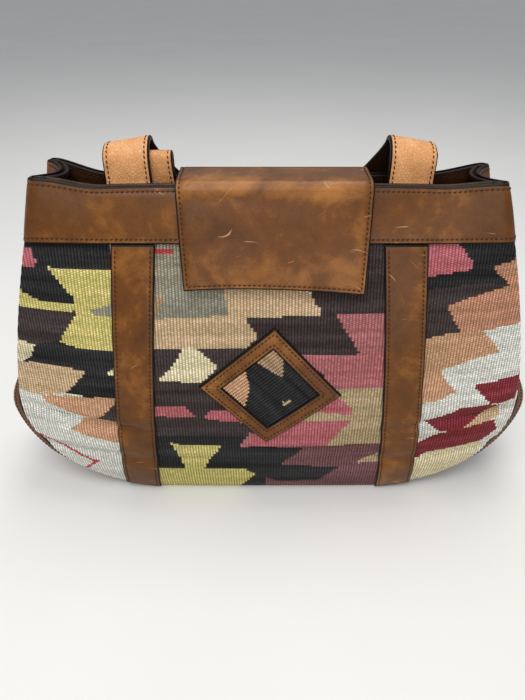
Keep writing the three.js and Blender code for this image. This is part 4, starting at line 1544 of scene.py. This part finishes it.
@dataclass
class Diamond:
    """The leather diamond on the front, and the turned piece of weave that it frames."""

    half_width: float = 53.0
    half_height: float = 49.0
    middle_x: float = 1.0
    middle_z: float = 117.0
    border: float = 17.0
    tilt_deg: float = -3.5
    rows_per_side: int = 24
    columns_per_rib: int = 3
    patch_rows: int = 61
    patch_height: float = 0.7
    # Painted highlight: the border's whole leather is made paler.
    painted_highlight: float = 0.4

    @property
    def side_length(self) -> float:
        """Return the length of one side of the diamond's outside."""
        return math.hypot(self.half_width, self.half_height)

    @property
    def strip_width(self) -> float:
        """Return the border's width, square to its edges."""
        return self.border * self.half_height / self.side_length

    def on_panel(self, x: Array, z: Array, lift: Array) -> Array:
        """Turn the diamond's own coordinates and set them on the front panel."""
        tilt = math.radians(self.tilt_deg)
        turned_x = self.middle_x + x * math.cos(tilt) - z * math.sin(tilt)
        turned_z = self.middle_z + x * math.sin(tilt) + z * math.cos(tilt)
        return BODY.face(-1, turned_x, turned_z, lift)

    def wear(self, across: Array, along: Array) -> Array:
        """Return the border's painted highlight: paler all over."""
        return np.full_like(across, self.painted_highlight)

    def place(self, across: Array, along: Array, lift: Array) -> Array:
        """Place the border: across from its inner edge, along round its four mitred sides."""
        reach = self.half_width - self.border + across / self.strip_width * self.border
        tall = reach * self.half_height / self.half_width
        turn = np.mod(along / self.side_length, 4)
        corner = np.floor(turn)
        t = turn - corner
        angle = corner * np.pi / 2
        x = reach * (np.cos(angle) * (1 - t) + np.cos(angle + np.pi / 2) * t)
        z = tall * (np.sin(angle) * (1 - t) + np.sin(angle + np.pi / 2) * t)
        return self.on_panel(x, z, lift)

    def build(self) -> list[bpy.types.Object]:
        """Build the border and the patch.

        Returns:
            Both objects.
        """
        border = LeatherStrip("diamond_border", ("diamond_border",), self.place, self.strip_width,
                              4 * self.side_length, SMOOTH_LEATHER, base=SEAM_LIFT, ring=True,
                              rows=4 * self.rows_per_side, columns=4, wear=self.wear)
        inner = self.half_width - self.border - 2 * GAP
        side = math.hypot(inner, inner * self.half_height / self.half_width)
        ribs = int(round(side / RIB_PITCH))
        columns = ribs * self.columns_per_rib + 1
        u, v = np.meshgrid(np.linspace(0, 1, columns), np.linspace(0, 1, self.patch_rows))
        x = inner * (u + v - 1)
        z = inner * self.half_height / self.half_width * (v - u)
        ribbing = np.where(np.arange(columns) % self.columns_per_rib == 0, 0.0, RIB_HEIGHT)[None]
        front = self.on_panel(x, z, np.broadcast_to(SEAM_LIFT + self.patch_height + ribbing, x.shape))
        back = self.on_panel(x, z, np.full_like(x, SEAM_LIFT))
        weave = np.stack([u * ribs, v * side / WEFT_PITCH], axis=-1)
        patch = Weave("diamond_patch", x, z, front, back, weave, PATCH_MOTIFS, Dye.CHARCOAL,
                      self.columns_per_rib).build()
        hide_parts("diamond_patch")
        return [border.build(), patch]


@dataclass(frozen=True)
class Studio:
    """The pale floor, the soft lights and the camera."""

    camera_spot: tuple[float, float, float] = (-4.8, -357.7, 371.2)
    pitch_deg: float = 36.0
    focal_px: float = 526.0
    frame_px: int = 700
    sensor_mm: float = 36.0
    floor_m: float = 30.0
    lamp_aim: tuple[float, float, float] = (0.0, 0.0, 0.12)
    sky_colour: str = "e8ecf2"
    sky_strength: float = 0.55

    def lamp(self, name: str, spot: tuple[float, float, float], size: float, watts: float) -> None:
        """Hang a square soft lamp that faces the bag.

        Args:
            name: the lamp's name.
            spot: where it hangs, in metres.
            size: its side, in metres.
            watts: its power.
        """
        data = bpy.data.lights.new(name, "AREA")
        data.size = size
        data.energy = watts
        lamp = bpy.data.objects.new(name, data)
        lamp.location = spot
        aim = np.array(self.lamp_aim) - np.array(spot)
        yaw = math.atan2(aim[0], -aim[1]) if abs(aim[0]) + abs(aim[1]) > 1e-6 else 0.0
        lamp.rotation_euler = (math.atan2(math.hypot(aim[0], aim[1]), -aim[2]), 0.0, yaw + math.pi)
        bpy.context.scene.collection.objects.link(lamp)

    def build(self) -> None:
        """Set up the camera, floor, lamps and world."""
        scene = bpy.context.scene
        lens = bpy.data.cameras.new("camera")
        lens.sensor_width = self.sensor_mm
        lens.lens = self.focal_px * self.sensor_mm / self.frame_px
        camera = bpy.data.objects.new("camera", lens)
        camera.location = tuple(c * MM for c in self.camera_spot)
        camera.rotation_euler = (math.radians(90 - self.pitch_deg), 0, 0)
        scene.collection.objects.link(camera)
        scene.camera = camera
        half = self.floor_m / MM / 2
        corners = np.array([[-half, -half, 0], [half, -half, 0], [half, half, 0], [-half, half, 0]], float)
        floor = mesh_object("floor", corners, [[0, 1, 2, 3]], [PAPER], smooth=False)
        self.lamp("key", spot=(-0.3, -0.75, 1.7), size=1.2, watts=22.0)
        self.lamp("fill", spot=(0.3, -1.9, 0.45), size=1.4, watts=12.0)
        self.lamp("top", spot=(0.1, 0.35, 1.5), size=0.7, watts=9.0)
        world = bpy.data.worlds.new("studio")
        world.use_nodes = True
        sky = world.node_tree.nodes["Background"]
        sky.inputs["Color"].default_value = linear(self.sky_colour)
        sky.inputs["Strength"].default_value = self.sky_strength
        scene.world = world
        scene.view_settings.view_transform = "Standard"


def ride_all(pieces: list[bpy.types.Object], body: str) -> None:
    """Make every piece move with a body."""
    for piece in pieces:
        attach(piece, body)


def main() -> None:
    """Build the bag and its studio."""
    logging.basicConfig(level=logging.INFO)
    Studio().build()
    loop = MouthLoop(BODY)
    ride_all(Mouth(loop).build(), "bag")
    ride_all([Gusset().build()], "bag")
    ride_all([SewnStrap(face, hand).build() for face in ("front", "back") for hand in (-1, 1)], "bag")
    ride_all(Diamond().build(), "bag")
    ride_all([KilimPanel("front_panel", -1, FRONT_MOTIFS).build()], "bag")
    ride_all([KilimPanel("back_panel", 1, FRONT_MOTIFS).build()], "bag")
    flap, root = Flap().build()
    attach(flap, "flap")
    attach(root, "bag")
    front_nodes = ("front_handle_left_end", "front_handle_loop", "front_handle_right_end")
    front = StrapHandle("front_handle", front_nodes, side=-1, half_span=94.5, shift=0.0, rise=11.0, bend=12.0,
                        turn_deg=150.0, arch=92.0, arch_power=1.4, slant=0.14)
    handle = front.build()
    centre_y, centre_z = front.centre
    for part in (handle, *handle.children):
        part.parent = None
        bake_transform(part)
    back = StrapHandle("back_handle", ("back_handle",), side=1, half_span=88.0, shift=8.0, rise=14.0,
                       bend=3.0, turn_deg=-180.0, arch=100.0, arch_power=2.0, slant=0.0)
    ride_all([back.build()], "bag")


if __name__ == "__main__":
    main()
